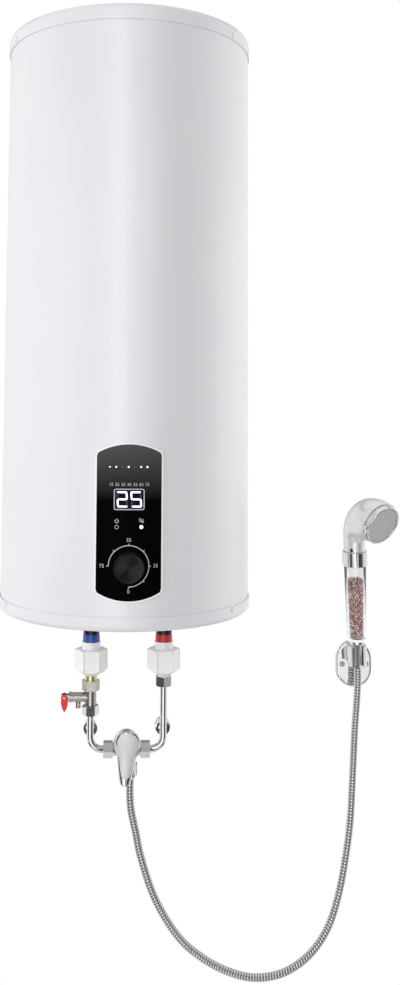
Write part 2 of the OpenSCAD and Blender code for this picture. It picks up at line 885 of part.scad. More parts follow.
module cable_gland() {
    color("dimgray") at_gland() {
        translate([0, 0, 0]) cylinder(r = gland_r, h = cover_t + 6);
        translate([0, 0, -5]) cylinder(r = gland_r + 3, h = 5, $fn = 6);
        translate([0, 0, -17]) rotate_extrude() rounded_end(gland_r + 1.5, 12, 1);
        translate([0, 0, -17]) mirror([0, 0, 1]) rotate_extrude() rounded_end(gland_r, 4, 3);
        translate([0, 0, cover_t]) cylinder(r = gland_r + 3, h = 4, $fn = 6);
    }
}

// Control panel

module panel_layer(r_out, r_in, extra) {
    intersection() {
        at_tank() translate([0, 0, z_panel - panel_h]) ring(r_out, r_in, 2 * panel_h);
        on_panel(0, 0) linear_extrude(far) panel_outline(extra);
    }
}

module display_window(extra, depth) {
    w = display_w + 2 * extra;
    h = display_h + 2 * extra;
    on_panel(0, display_z) translate([-w / 2, -h / 2, 0]) cube([w, h, depth]);
}

module lamp_places() {
    for (i = [0 : lamp_n - 1]) {
        x = (i - (lamp_n - 1) / 2) * lamp_pitch;
        on_panel(x, lamp_z) lamp_at(x, lamp_d);
    }
}

module lamp_at(x, d, extra = 0) {
    front = sqrt(face_front * face_front - x * x);
    translate([0, 0, board_front]) cylinder(d = d + 2 * extra, h = front - board_front + 0.3 + extra * 9);
}

module panel_holes() {
    for (i = [0 : lamp_n - 1])
        on_panel((i - (lamp_n - 1) / 2) * lamp_pitch, lamp_z)
            cylinder(d = lamp_d + 2 * seat_gap, h = far);
    for (s = [-1, 1])
        on_panel(s * status_x, status_z) cylinder(d = status_d + 2 * seat_gap, h = far);
    on_panel(0, knob_z) cylinder(d = knob_shaft_d + 2 * move_gap, h = far);
    display_window(seat_gap, far);
}

module panel_frame() {
    color("white") {
        difference() {
            union() {
                panel_layer(face_front + 0.2, panel_back, bezel_w);
                intersection() {
                    tray_block(0, tray_back);
                    at_tank() translate([0, 0, z_panel - panel_h])
                        cylinder(r = face_back - bezel_back_t / 2, h = 2 * panel_h);
                }
            }
            panel_layer(body_r + 20, face_back, seat_gap);
            tray_block(-tray_wall, tray_back + tray_wall);
        }
        for (sx = [-1, 1], sz = [-1, 1])
            on_panel(sx * (tray_w / 2 - 6), sz * (tray_h / 2 - 6))
                translate([0, 0, tray_back + tray_wall - eps]) cylinder(r = 2.5, h = board_gap);
    }
}

module panel_face() {
    color("black") difference() {
        panel_layer(face_front, face_back + eps, 0);
        panel_holes();
    }
}

module control_board() {
    w = tray_w - 2 * tray_wall - 2 * board_margin;
    h = tray_h - 2 * tray_wall - 2 * board_margin;
    color("darkgreen") on_panel(0, 0)
        translate([-w / 2, -h / 2, board_front - board_t]) cube([w, h, board_t]);
}

trim_w = 1.6;
module display_module() {
    inset = trim_w + seat_gap;
    front = sqrt(face_front * face_front - display_w * display_w / 4);
    color("darkslategray") on_panel(0, display_z)
        translate([-display_w / 2 + inset, -display_h / 2 + inset, board_front])
            cube([display_w - 2 * inset, display_h - 2 * inset, front - board_front]);
}

module display_trim() {
    color("silver") difference() {
        intersection() {
            display_window(0, far);
            at_tank() translate([0, 0, z_panel - panel_h])
                ring(face_front + 0.4, face_back - 1, 2 * panel_h);
        }
        display_window(-trim_w, far);
    }
}

module indicator_lamps() {
    color("mistyrose") lamp_places();
}

module status_lamps() {
    color("lavenderblush") for (s = [-1, 1])
        on_panel(s * status_x, status_z) lamp_at(status_x, status_d);
}

pot_r = 8;
pot_h = 7;
bush_h = face_back - board_front - 2 * seat_gap;
module potentiometer() {
    color("slategray") on_panel(0, knob_z) translate([0, 0, board_front])
        difference() {
            union() {
                cylinder(r = pot_r, h = pot_h);
                cylinder(d = knob_shaft_d + 4, h = bush_h);
            }
            translate([0, 0, 2]) cylinder(d = knob_shaft_d + 2 * run_gap, h = far);
        }
}

module temperature_knob() {
    base = face_front + move_gap + 0.2;
    shaft_foot = board_front + 2 + move_gap;
    r = knob_d / 2;
    color("black") on_panel(0, knob_z) {
        translate([0, 0, base]) rotate_extrude() polygon([
            [0, 0], [r, 0], [r, 3], [r - 1.6, knob_h - 1.4], [r - 3, knob_h], [0, knob_h - 0.8]
        ]);
        translate([0, 0, shaft_foot]) cylinder(d = knob_shaft_d, h = base - shaft_foot + 1);
    }
}

// Ports and unions

module collar() {
    translate([0, 0, z_collar]) ring(collar_bore + collar_wall, collar_bore, collar_h);
    translate([0, 0, z_collar]) ring(collar_bore + collar_sleeve, collar_bore, collar_len + cover_t);
    translate([0, 0, z_bot - 3]) ring(collar_bore + 5, collar_bore, 3);
}

module cold_collar() {
    color("royalblue") translate([cold_x, tank_y, 0]) collar();
}

module hot_collar() {
    color("crimson") translate([hot_x, tank_y, 0]) collar();
}

shoulder_h = 4;
lip_h = 4;
module union_sleeves() {
    color("white") port_places() {
        translate([0, 0, z_nut_top - lip_h])
            ring(sleeve_r, nipple_r + seat_gap, sleeve_show + lip_h);
        translate([0, 0, z_nut_top - lip_h - shoulder_h])
            ring(union_thread_r, nipple_r - nipple_wall, shoulder_h);
    }
}

module union_nuts() {
    rib_r = 2;
    chamfer = 4;
    r = union_nut_r + rib_r - 1;
    color("white") port_places() difference() {
        intersection() {
            translate([0, 0, z_nut_bot]) union() {
                cylinder(r = union_nut_r, h = union_nut_h, $fn = 6);
                for (i = [0 : 5]) rotate([0, 0, 60 * i]) translate([union_nut_r - 1.3, 0, 0])
                    cylinder(r = rib_r, h = union_nut_h);
            }
            translate([0, 0, z_nut_bot]) rotate_extrude() polygon([
                [0, 0], [r - chamfer, 0], [r, chamfer], [r, union_nut_h - 1],
                [r - 1, union_nut_h], [0, union_nut_h]
            ]);
        }
        translate([0, 0, z_nut_bot - 1])
            cylinder(r = union_thread_r + seat_gap, h = union_nut_h - lip_h + 1 + seat_gap);
        translate([0, 0, z_nut_bot]) cylinder(r = sleeve_r + seat_gap, h = union_nut_h + 1);
    }
}

module union_tail() {
    tail_top = z_nut_top - lip_h - shoulder_h;
    rotate_extrude() polygon([
        [water_r, z_tail], [tail_r, z_tail], [union_thread_r, z_nut_bot],
        [union_thread_r, tail_top], [nipple_r - nipple_wall, tail_top], [water_r + 2, z_nut_bot],
        [water_r + 2, z_tail + tail_cone_h / 2], [water_r, z_tail + tail_cone_h / 2]
    ]);
}

hot_nut_gap = 1.5;
thread_len = pipe_nut_h - 4;
module union_tails() {
    color("white") port_places() union_tail();
    color("white") translate([hot_x, tank_y, z_tail - hot_nut_gap - thread_len])
        ring(pipe_thread_r, water_r, hot_nut_gap + thread_len);
}

// Safety valve

spigot_r = pipe_thread_r - 2;
module brass_nipple() {
    color("gold") translate([cold_x, tank_y, 0]) {
        translate([0, 0, z_valve]) ring(pipe_thread_r + 0.6, water_r - 1, brass_h);
        translate([0, 0, z_valve - 6]) ring(spigot_r, water_r - 1, 6 + eps);
    }
}

// Turns +Z towards the branch's free end
module along_branch(x) {
    translate([cold_x - x, tank_y, z_branch]) rotate([0, -90, 0]) children();
}

module valve_body() {
    color("silver") difference() {
        union() {
            translate([cold_x, tank_y, z_valve_body])
                cylinder(r = valve_hex_r, h = valve_hex_h, $fn = 6);
            translate([cold_x, tank_y, z_valve_end]) cylinder(r = valve_r, h = valve_h);
            translate([cold_x, tank_y, z_valve_end - thread_len])
                cylinder(r = pipe_thread_r - 0.7, h = thread_len + eps);
            along_branch(0) cylinder(r = branch_r, h = branch_len);
            along_branch(branch_len - 4) cylinder(r = branch_r + 0.6, h = 4);
            translate([cold_x - spout_x, tank_y, z_branch - spout_h])
                cylinder(r = spout_r, h = spout_h);
            for (s = [-1, 1])
                translate([cold_x - ear_len, tank_y + s * (ear_in + ear_t / 2) - ear_t / 2, z_branch - ear_half])
                    cube([ear_len - branch_len + 3, ear_t, 2 * ear_half]);
            translate([cold_x - lever_x, tank_y, z_branch]) rotate([-90, 0, 0])
                cylinder(r = relief_pin_r, h = 2 * pin_len, center = true);
        }
        translate([cold_x, tank_y, z_valve - 6]) cylinder(r = spigot_r + seat_gap, h = far);
        translate([cold_x, tank_y, z_valve_end - thread_len - 1]) cylinder(r = water_r - 1, h = far);
        along_branch(disc_x - 0.4) cylinder(r = branch_bore, h = branch_len - bonnet_t - disc_x + 0.4);
        along_branch(0) cylinder(r = stem_r + run_gap, h = branch_len + 1);
        translate([cold_x - spout_x, tank_y, z_branch - spout_h - 1])
            cylinder(r = spout_r - 1.4, h = spout_h);
    }
}

// Leaf-shaped lever that hangs from its hub, drawn with X along the branch and Y up
module relief_leaf() {
    leaf_r = relief_len;
    circle(r = lever_hub_r);
    intersection() {
        translate([leaf_r - lever_hub_r, -lever_hub_r]) circle(r = leaf_r);
        translate([-leaf_r + 1.3 * lever_hub_r, -lever_hub_r]) circle(r = leaf_r);
        translate([-leaf_r, -relief_len]) square([2 * leaf_r, relief_len]);
    }
}

module relief_lever() {
    slot_r = norm([1.3 * lever_hub_r, ear_half]) + move_gap;
    color("crimson") translate([cold_x - lever_x, tank_y + relief_w / 2, z_branch])
        rotate([90, 0, 0]) difference() {
            linear_extrude(relief_w) relief_leaf();
            translate([0, 0, -1]) cylinder(r = relief_pin_r + run_gap, h = relief_w + 2);
            translate([0, 0, relief_w / 2 - cheek_in]) cylinder(r = slot_r, h = 2 * cheek_in);
        }
}

module relief_stem() {
    stem_end = lever_x - relief_pin_r - stem_travel - 1;
    color("goldenrod") {
        along_branch(disc_x) cylinder(r = disc_r, h = disc_t);
        along_branch(disc_x - 6) cylinder(r = stem_r, h = stem_end - disc_x + 6);
    }
}

module relief_spring() {
    color("gray") along_branch(spring_x0)
        coil(spring_r, spring_wire, spring_x1 - spring_x0, spring_n);
}

// Pipes

// Bent rod from its top down to the bend, then along +X to the mixer
module bent_rod(r, rise, reach, over) {
    translate([0, 0, bend_r]) cylinder(r = r, h = rise - bend_r + over);
    translate([bend_r, 0, bend_r]) rotate([90, 0, 0]) rotate([0, 0, 180])
        rotate_extrude(angle = 90) translate([bend_r, 0]) circle(r = r);
    translate([bend_r, 0, 0]) rotate([0, 90, 0]) cylinder(r = r, h = reach - bend_r + over);
}

module bent_pipe(x, top) {
    rise = top - z_mixer;
    reach = abs(mixer_x - x) - mixer_nut_x - thread_len;
    translate([x, tank_y, z_mixer]) mirror([x < mixer_x ? 0 : 1, 0, 0]) difference() {
        bent_rod(pipe_r, rise, reach, 0);
        bent_rod(pipe_r - pipe_wall, rise, reach, 1);
    }
}

module cold_pipe() {
    color("gainsboro") bent_pipe(cold_x, z_valve_end - thread_len);
}

module hot_pipe() {
    color("gainsboro") bent_pipe(hot_x, z_tail - hot_nut_gap - thread_len);
}

// Hexagon nut whose bore takes a thread from above and a pipe from below
module pipe_nut(turn) {
    wall = 3;
    difference() {
        intersection() {
            rotate([0, 0, turn]) cylinder(r = pipe_nut_r, h = pipe_nut_h, $fn = 6);
            rotate_extrude() polygon([
                [0, 0], [pipe_nut_r - 1.2, 0], [pipe_nut_r, 1], [pipe_nut_r, pipe_nut_h - 1],
                [pipe_nut_r - 1.2, pipe_nut_h], [0, pipe_nut_h]
            ]);
        }
        translate([0, 0, wall]) cylinder(r = pipe_thread_r + seat_gap, h = pipe_nut_h);
        translate([0, 0, -1]) cylinder(r = pipe_r + seat_gap, h = pipe_nut_h);
    }
}

module pipe_nuts() {
    flat_turn = 30;
    color("gainsboro") {
        translate([cold_x, tank_y, z_cold_pipe]) pipe_nut(0);
        translate([hot_x, tank_y, z_tail - hot_nut_gap - pipe_nut_h]) pipe_nut(flat_turn);
        for (s = [-1, 1])
            translate([mixer_x + s * (mixer_nut_x + pipe_nut_h), tank_y, z_mixer])
                rotate([0, -90 * s, 0]) pipe_nut(flat_turn);
    }
}

rear_disc_t = 6;
rear_gap = 1.2;
module rear_ports() {
    disc_y = pipe_r + rear_gap;
    color("gainsboro") for (x = [cold_x, hot_x])
        translate([x, tank_y, z_rear_port]) difference() {
            rotate([-90, 0, 0]) {
                cylinder(r = water_r + 0.5, h = disc_y + eps);
                translate([0, 0, disc_y]) cylinder(r = rear_disc_r, h = rear_disc_t);
                translate([0, 0, disc_y + rear_disc_t - eps])
                    cylinder(r = pipe_thread_r, h = rear_thread_len);
            }
            cylinder(r = pipe_r + seat_gap, h = 4 * rear_disc_r, center = true);
            rotate([-90, 0, 0]) translate([0, 0, pipe_r])
                cylinder(r = water_r - 1, h = far);
        }
}

module port_cap() {
    cap_y = pipe_r + rear_gap + rear_disc_t;
    color("gainsboro") translate([hot_x, tank_y + cap_y, z_rear_port]) rotate([-90, 0, 0])
        difference() {
            rotate_extrude() rounded_end(rear_disc_r + 0.8, rear_thread_len + 3, 1.5);
            translate([0, 0, -1]) cylinder(r = pipe_thread_r + seat_gap, h = rear_thread_len + 1 + seat_gap);
        }
}

// Mixer

module at_mixer() {
    translate([mixer_x, tank_y, z_body]) children();
}

module along_pipes() {
    translate([mixer_x, tank_y, z_mixer]) rotate([0, 90, 0]) children();
}

// +Z points out of the front of the mixer, Y up
module mixer_axis(out) {
    at_mixer() translate([0, -out, 0]) rotate([90, 0, 0]) children();
}

module mixer_body() {
    stub = mixer_nut_x + thread_len;
    color("gainsboro") difference() {
        union() {
            at_mixer() translate([0, -mixer_front, 0]) rotate([-90, 0, 0])
                rotate_extrude() rounded_end(mixer_r, mixer_front + mixer_back, 5);
            along_pipes() cylinder(r = pipe_thread_r, h = 2 * stub, center = true);
            translate([mixer_x + outlet_x, tank_y, z_outlet - hose_nut_h + 4])
                cylinder(r = outlet_r, h = z_mixer - z_outlet + hose_nut_h - 4);
        }
        mixer_axis(mixer_front - cartridge_l) cylinder(r = cartridge_r + seat_gap, h = far);
        along_pipes() cylinder(r = pipe_r - pipe_wall, h = 2 * stub + 2, center = true);
        translate([mixer_x + outlet_x, tank_y, z_outlet - hose_nut_h])
            cylinder(r = water_r, h = z_mixer - z_outlet + hose_nut_h);
    }
}

module mixer_cartridge() {
    color("whitesmoke") mixer_axis(mixer_front - cartridge_l) difference() {
        cylinder(r = cartridge_r, h = cartridge_l);
        translate([0, 0, 6]) cylinder(r = spindle_r + run_gap, h = cartridge_l);
    }
}

module cartridge_cover() {
    color("gainsboro") mixer_axis(mixer_front) difference() {
        rotate_extrude() rounded_end(mixer_r - 1, cover_plate_t, 2);
        translate([0, 0, -1]) cylinder(r = spindle_r + 1, h = cover_plate_t + 2);
    }
}

module turned_lever() {
    at_mixer() rotate([0, lever_turn, 0]) rotate([90, 0, 0]) children();
}

pin_half = 7;
module mixer_spindle() {
    foot = mixer_front - cartridge_l + 6 + move_gap;
    color("gold") turned_lever() {
        translate([0, 0, foot]) cylinder(r = spindle_r, h = spindle_tip - foot);
        translate([0, 0, pivot_out]) rotate([0, 90, 0])
            cylinder(r = spindle_pin_r, h = 2 * pin_half, center = true);
    }
}

// Teardrop: a round head and a small round tip joined just inside their tangents
module teardrop(r0, r1, length) {
    rise = asin((r0 - r1) / length);
    a = r0 - 0.1;
    b = r1 - 0.1;
    circle(r = r0);
    translate([0, -length]) circle(r = r1);
    polygon([
        [-a * cos(rise), -a * sin(rise)], [-b * cos(rise), -length - b * sin(rise)],
        [b * cos(rise), -length - b * sin(rise)], [a * cos(rise), -a * sin(rise)]
    ]);
}

// Side outline of the lever: X runs out from the wall, Y up from the spindle
module lever_side() {
    top = lever_heel + lever_head_r;
    tip = -lever_reach;
    slope = tan(lever_lift + 1.5);
    polygon([
        [lever_back, 0], [lever_back, -lever_head_r * 0.7], [lever_back + 5, -lever_head_r],
        [lever_back + 9, tip], [lever_out + 6, tip - 1], [lever_out + 4, tip + 12],
        [lever_out, -lever_head_r], [lever_out, top - 6], [lever_out - 1.5, top],
        [lever_back + slope * top, top]
    ]);
}

module mixer_lever() {
    pocket_x = spindle_r + move_gap;
    pocket_z = spindle_r + 2.6;
    color("silver") turned_lever() difference() {
        intersection() {
            linear_extrude(lever_out + 8) translate([0, lever_heel])
                teardrop(lever_head_r, lever_tip_r, lever_heel + lever_reach - lever_tip_r);
            rotate([0, -90, 0]) translate([0, 0, -lever_head_r - 1])
                linear_extrude(2 * lever_head_r + 2) lever_side();
        }
        translate([-pocket_x, -pocket_z, 0])
            cube([2 * pocket_x, 2 * pocket_z, pivot_out + spindle_r * 1.5 + 0.6]);
        translate([0, 0, pivot_out]) rotate([0, 90, 0])
            cylinder(r = spindle_pin_r + run_gap, h = 2 * pin_half + 2 * move_gap, center = true);
    }
}

// Hose

module shower_hose() {
    color("lightgray")
        ribbed_tube(HOSE, hose_d / 2, hose_d / 2 - rib_depth, hose_bore / 2, rib_n, 8);
}

module hose_nut() {
    grip_n = 12;
    color("gainsboro") translate([mixer_x + outlet_x, tank_y, 0]) difference() {
        union() {
            translate([0, 0, z_outlet - hose_nut_h]) cylinder(r = hose_nut_r, h = hose_nut_h);
            translate([0, 0, z_hose]) rotate_extrude() polygon([
                [0, 0], [hose_d / 2 + 0.8, 0], [hose_d / 2 + 0.8, ferrule_h - 4],
                [hose_nut_r - 1, ferrule_h], [0, ferrule_h]
            ]);
        }
        translate([0, 0, z_outlet - hose_nut_h + 4]) cylinder(r = outlet_r + seat_gap, h = hose_nut_h);
        translate([0, 0, z_hose - 1]) cylinder(r = hose_bore / 2, h = far);
        for (i = [0 : grip_n - 1]) rotate([0, 0, i * 360 / grip_n])
            translate([hose_nut_r + 0.6, 0, z_outlet - hose_nut_h + 2])
                cylinder(r = 1.2, h = hose_nut_h);
    }
}

// Hand shower, drawn upright from its hose end

module at_shower() {
    translate([shower_x, -shower_y, -shower_z]) rotate([shower_lean, shower_side, 0]) children();
}

cone_top = cone_h - 4;
module hose_cone() {
    color("gainsboro") at_shower() difference() {
        rotate_extrude() polygon([
            [0, 0], [cone_r0, 0], [cone_r1, cone_top], [cone_r1, cone_h], [0, cone_h]
        ]);
        translate([0, 0, -1]) cylinder(r = hose_bore / 2, h = cone_h + 2);
    }
}

band_z = cone_h + handle_h;
floor_t = 4;
spigot_h = 10;
module shower_handle() {
    w = handle_wall;
    color("whitesmoke", 0.5) at_shower() rotate_extrude() polygon([
        [4, cone_h], [handle_r0, cone_h], [handle_r1, band_z], [handle_r1 - w, band_z],
        [handle_r0 - w, cone_h + floor_t], [4, cone_h + floor_t]
    ]);
}

module mineral_balls() {
    room = handle_wall + 0.3;
    top = handle_h - spigot_h - 4;
    taper = (handle_r1 - handle_r0) / handle_h;
    color("rosybrown") at_shower() translate([0, 0, cone_h + floor_t + 0.2])
        rotate_extrude() polygon([
            [0, 0], [handle_r0 - room, 0], [handle_r0 - room + taper * (top - floor_t), top - floor_t],
            [0, top - floor_t]
        ]);
}

module handle_collar() {
    color("gainsboro") at_shower() translate([0, 0, band_z]) difference() {
        union() {
            rotate_extrude() rounded_end(band_r, band_h, 0.6);
            translate([0, 0, -spigot_h])
                cylinder(r = handle_r1 - handle_wall - seat_gap - 0.3, h = spigot_h + eps);
        }
        translate([0, 0, -spigot_h - 1]) cylinder(r = 6, h = far);
    }
}

// +Z points out of the spray face
module at_face() {
    in_head(face_out, face_rise) rotate([90 + face_tilt, 0, head_turn]) children();
}

face_stem_r = 4;
face_stem_h = 12;
head_back = spray_t + move_gap;
head_wall = 2.5;
neck_step = 0.4;

// Everything in front of a plane behind the spray ring
module face_side(depth) {
    at_face() translate([-2 * spray_r, -2 * spray_r, -head_back - depth])
        cube([4 * spray_r, 4 * spray_r, 4 * spray_r]);
}

module in_head(out, rise) {
    at_shower() translate([out * sin(head_turn), -out * cos(head_turn), band_z + band_h + rise]) children();
}

// Head from its neck over its bend and bulb to its rim, smaller all round by an inset
module head_form(inset) {
    neck_r = neck_tube_r - inset;
    difference() {
        union() {
            in_head(0, inset) cylinder(r = neck_r, h = neck_rise - inset, $fn = 32);
            hull($fn = 32) {
                in_head(0, neck_rise - 4) cylinder(r = neck_r - neck_step, h = 2);
                in_head(heel_out, heel_rise) sphere(r = heel_r - inset);
                in_head(bulb_out, bulb_rise) sphere(r = bulb_r - inset);
                at_face() translate([0, 0, -head_back - 5 - inset]) cylinder(r = rim_r - inset, h = 5);
            }
        }
        face_side(inset);
    }
}

module shower_head() {
    boss_h = face_stem_h + move_gap + head_wall;
    color("gainsboro") difference() {
        union() {
            difference() {
                head_form(0);
                head_form(head_wall);
            }
            at_face() translate([0, 0, -head_back - boss_h])
                cylinder(r = face_stem_r + 3, h = boss_h - 0.5);
        }
        at_face() translate([0, 0, -head_back - face_stem_h - move_gap])
            cylinder(r = face_stem_r + run_gap, h = far);
        at_shower() translate([0, 0, band_z + band_h - 1]) cylinder(r = 6, h = 10);
    }
}

module spray_ring() {
    web = 2;
    tab = 3;
    color("gainsboro") at_face() {
        translate([0, 0, -spray_t]) difference() {
            cylinder(r = spray_r, h = spray_t);
            translate([0, 0, web]) cylinder(r = plate_r + seat_gap, h = spray_t);
            translate([0, 0, -1]) cylinder(r = face_stem_r + 2, h = spray_t);
        }
        translate([-spray_r - tab, -3.5, -spray_t + 1]) cube([tab + 1, 7, spray_t - 3]);
    }
}

module spray_plate() {
    web = 2;
    color("darkgray") at_face() {
        translate([0, 0, -spray_t + web]) cylinder(r = plate_r, h = spray_t - web - 1);
        translate([0, 0, -spray_t - face_stem_h]) cylinder(r = face_stem_r, h = face_stem_h + web + 1);
    }
}

// Wall holder

module oval(inset) {
    r = holder_w / 2 - inset;
    straight = (holder_h - holder_w) / 2;
    for (s = [-1, 1]) translate([0, s * straight]) circle(r = r);
    translate([-r, -straight]) square([2 * r, 2 * straight]);
}

module at_holder() {
    translate([shower_x, 0, -shower_z]) rotate([90, 0, 0]) children();
}

module holder_screw_places() {
    for (s = [-1, 1]) translate([s * holder_screw_x, 0, 0]) children();
}

screw_r = 2;
module holder_plate() {
    color("gainsboro") at_holder() difference() {
        union() {
            linear_extrude(holder_t - 3) oval(0);
            linear_extrude(holder_t - 1.2) oval(2);
            linear_extrude(holder_t) oval(5);
        }
        holder_screw_places() translate([0, 0, -1]) cylinder(r = screw_r + seat_gap, h = holder_t + 2);
    }
}

cradle_z = 4;
module holder_cradle() {
    grow = (cone_r1 - cone_r0) / cone_top;
    over = 5;
    r0 = cone_r0 + grow * (cradle_z - over) + move_gap;
    bore_h = cradle_h + 2 * over;
    arm_w = 18;
    arm_z = cradle_z + 4;
    arm_h = cradle_h - 8;
    color("gainsboro") difference() {
        union() {
            at_shower() translate([0, 0, cradle_z])
                rotate_extrude() rounded_end(cradle_r, cradle_h, 1.5);
            translate([shower_x - arm_w / 2, -shower_y, -shower_z + arm_z])
                cube([arm_w, shower_y - holder_t, arm_h]);
        }
        at_shower() translate([0, 0, cradle_z - over])
            cylinder(r1 = r0, r2 = r0 + grow * bore_h, h = bore_h);
        at_shower() translate([-slot_w / 2, -2 * cradle_r, cradle_z - over])
            cube([slot_w, 2 * cradle_r, bore_h]);
    }
}

module holder_screws() {
    color("silver") at_holder() holder_screw_places() {
        translate([0, 0, 0]) cylinder(r = screw_r, h = holder_t + eps);
        translate([0, 0, holder_t]) rotate_extrude() rounded_end(2 * screw_r, 2, 1.4);
    }
}

jacket();
top_cover();
bottom_cover();
cover_screws();
foam_insulation();
inner_tank();
wall_bracket();
lower_bracket();
flange_plate();
flange_gasket();
flange_bolts();
heating_element();
anode_rod();
cold_inlet_pipe();
hot_outlet_pipe();
safety_cutout();
terminal_block();
cable_gland();
panel_frame();
panel_face();
control_board();
display_module();
display_trim();
indicator_lamps();
status_lamps();
potentiometer();
temperature_knob();
cold_collar();
hot_collar();
union_sleeves();
union_nuts();
union_tails();
brass_nipple();
valve_body();
relief_lever();
relief_stem();
relief_spring();
cold_pipe();
hot_pipe();
pipe_nuts();
rear_ports();
port_cap();
mixer_body();
mixer_cartridge();
cartridge_cover();
mixer_spindle();
mixer_lever();
shower_hose();
hose_nut();
hose_cone();
shower_handle();
mineral_balls();
handle_collar();
shower_head();
spray_ring();
spray_plate();
holder_plate();
holder_cradle();
holder_screws();
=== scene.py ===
import math
import random

import bmesh
import bpy
from mathutils import Euler, Matrix, Vector


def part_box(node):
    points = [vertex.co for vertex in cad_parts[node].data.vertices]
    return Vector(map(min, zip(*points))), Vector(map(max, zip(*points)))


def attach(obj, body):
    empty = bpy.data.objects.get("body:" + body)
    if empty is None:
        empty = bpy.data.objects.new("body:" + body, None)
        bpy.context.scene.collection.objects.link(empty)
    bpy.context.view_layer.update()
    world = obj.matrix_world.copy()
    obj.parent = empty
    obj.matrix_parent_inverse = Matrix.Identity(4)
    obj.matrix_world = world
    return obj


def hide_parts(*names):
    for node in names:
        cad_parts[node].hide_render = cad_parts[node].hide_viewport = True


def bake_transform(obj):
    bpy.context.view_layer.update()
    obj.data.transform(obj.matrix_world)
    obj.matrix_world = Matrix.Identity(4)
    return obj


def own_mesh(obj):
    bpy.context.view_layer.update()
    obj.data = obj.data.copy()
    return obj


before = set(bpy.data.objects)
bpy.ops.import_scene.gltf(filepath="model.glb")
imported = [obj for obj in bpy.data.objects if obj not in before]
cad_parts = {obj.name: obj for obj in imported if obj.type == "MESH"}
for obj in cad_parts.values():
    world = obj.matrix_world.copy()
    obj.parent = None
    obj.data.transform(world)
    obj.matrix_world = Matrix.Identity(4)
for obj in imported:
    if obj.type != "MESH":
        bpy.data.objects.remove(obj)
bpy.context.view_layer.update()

# Camera: stands a step and a half in front of the heater, just left of its middle and level with
# the upper half of the tank. The frame is 400 x 985, so the sensor's 36 mm run down its height.
lens = bpy.data.cameras.new("camera")
lens.sensor_width = 36
lens.lens = 36.8
lens.shift_x = 0.0508
lens.shift_y = -0.1739
lens.clip_end = 50
camera = bpy.data.objects.new("camera", lens)
camera.location = (-0.0389, -1.6056, -0.3427)
camera.rotation_euler = Euler([math.radians(a) for a in (94.5, -0.459, -2.906)])
bpy.context.scene.collection.objects.link(camera)
bpy.context.scene.camera = camera

# Jacket: thin steel sheet rolled into a drum and powder coated in gloss white, held at both ends
# by the covers. The coat has the faint orange peel that baked powder leaves.
MM = 0.001


def linear(code):
    parts = [int(code[i:i + 2], 16) / 255 for i in (1, 3, 5)]
    return [c / 12.92 if c <= 0.04045 else ((c + 0.055) / 1.055) ** 2.4 for c in parts] + [1]


def node(tree, kind, inputs=None, **settings):
    made = tree.nodes.new(kind)
    for key, value in settings.items():
        setattr(made, key, value)
    for key, value in (inputs or {}).items():
        if isinstance(value, bpy.types.NodeSocket):
            tree.links.new(value, made.inputs[key])
        else:
            made.inputs[key].default_value = value
    return made


def material(name, pale, deep, patch, **surface):
    # Two close shades drift into each other over patches of a given size in millimetres.
    made = bpy.data.materials.new(name)
    made.use_nodes = True
    tree = made.node_tree
    tree.nodes.clear()
    place = node(tree, "ShaderNodeTexCoord").outputs["Object"]
    cloud = node(tree, "ShaderNodeTexNoise", {"Vector": place, "Scale": 1 / (patch * MM), "Detail": 2})
    tint = node(tree, "ShaderNodeMix", {"Factor": cloud.outputs[0], "A": linear(pale), "B": linear(deep)},
                data_type="RGBA")
    surface = {key.replace("_", " "): value for key, value in surface.items()}
    shader = node(tree, "ShaderNodeBsdfPrincipled", {"Base Color": tint.outputs["Result"], **surface})
    node(tree, "ShaderNodeOutputMaterial", {"Surface": shader.outputs[0]})
    return made


def opened(finish):
    # The tree, the shader and the place on the piece, for a finish with a pattern of its own.
    tree = finish.node_tree
    return tree, tree.nodes["Principled BSDF"], tree.nodes["Texture Coordinate"].outputs["Object"]


def dress(finish, *names):
    for name in names:
        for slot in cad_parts[name].material_slots:
            slot.material = finish


powder_coat = material("white_powder_coat", "#e9e8ec", "#e4e3e8", 110, Roughness=0.36,
                       Specular_IOR_Level=0.9, Coat_Weight=1.0, Coat_Roughness=0.34)
tree, shader, place = opened(powder_coat)
# The peel's dimples are about 2 mm across.
peel = node(tree, "ShaderNodeTexNoise", {"Vector": place, "Scale": 1 / (2 * MM), "Detail": 1})
bump = node(tree, "ShaderNodeBump", {"Height": peel.outputs[0], "Strength": 0.03, "Distance": 0.4 * MM})
tree.links.new(bump.outputs[0], shader.inputs["Normal"])
dress(powder_coat, "jacket", "cover_screws")

# Covers: two shallow caps of white ABS, moulded and pushed over the ends of the jacket, each held
# by screws round its skirt. The moulding is a little softer in its gloss than the coat.
cover_abs = material("white_cover_abs", "#eae9ed", "#e3e2e7", 40, Roughness=0.4,
                     Specular_IOR_Level=0.9, Coat_Weight=1.0, Coat_Roughness=0.4)
tree, shader, place = opened(cover_abs)
# The mould's spark grain has 0.9 grains to the millimetre.
grain = node(tree, "ShaderNodeTexNoise", {"Vector": place, "Scale": 0.9 / MM, "Detail": 2})
bump = node(tree, "ShaderNodeBump", {"Height": grain.outputs[0], "Strength": 0.04, "Distance": 0.3 * MM})
tree.links.new(bump.outputs[0], shader.inputs["Normal"])
dress(cover_abs, "top_cover", "bottom_cover")

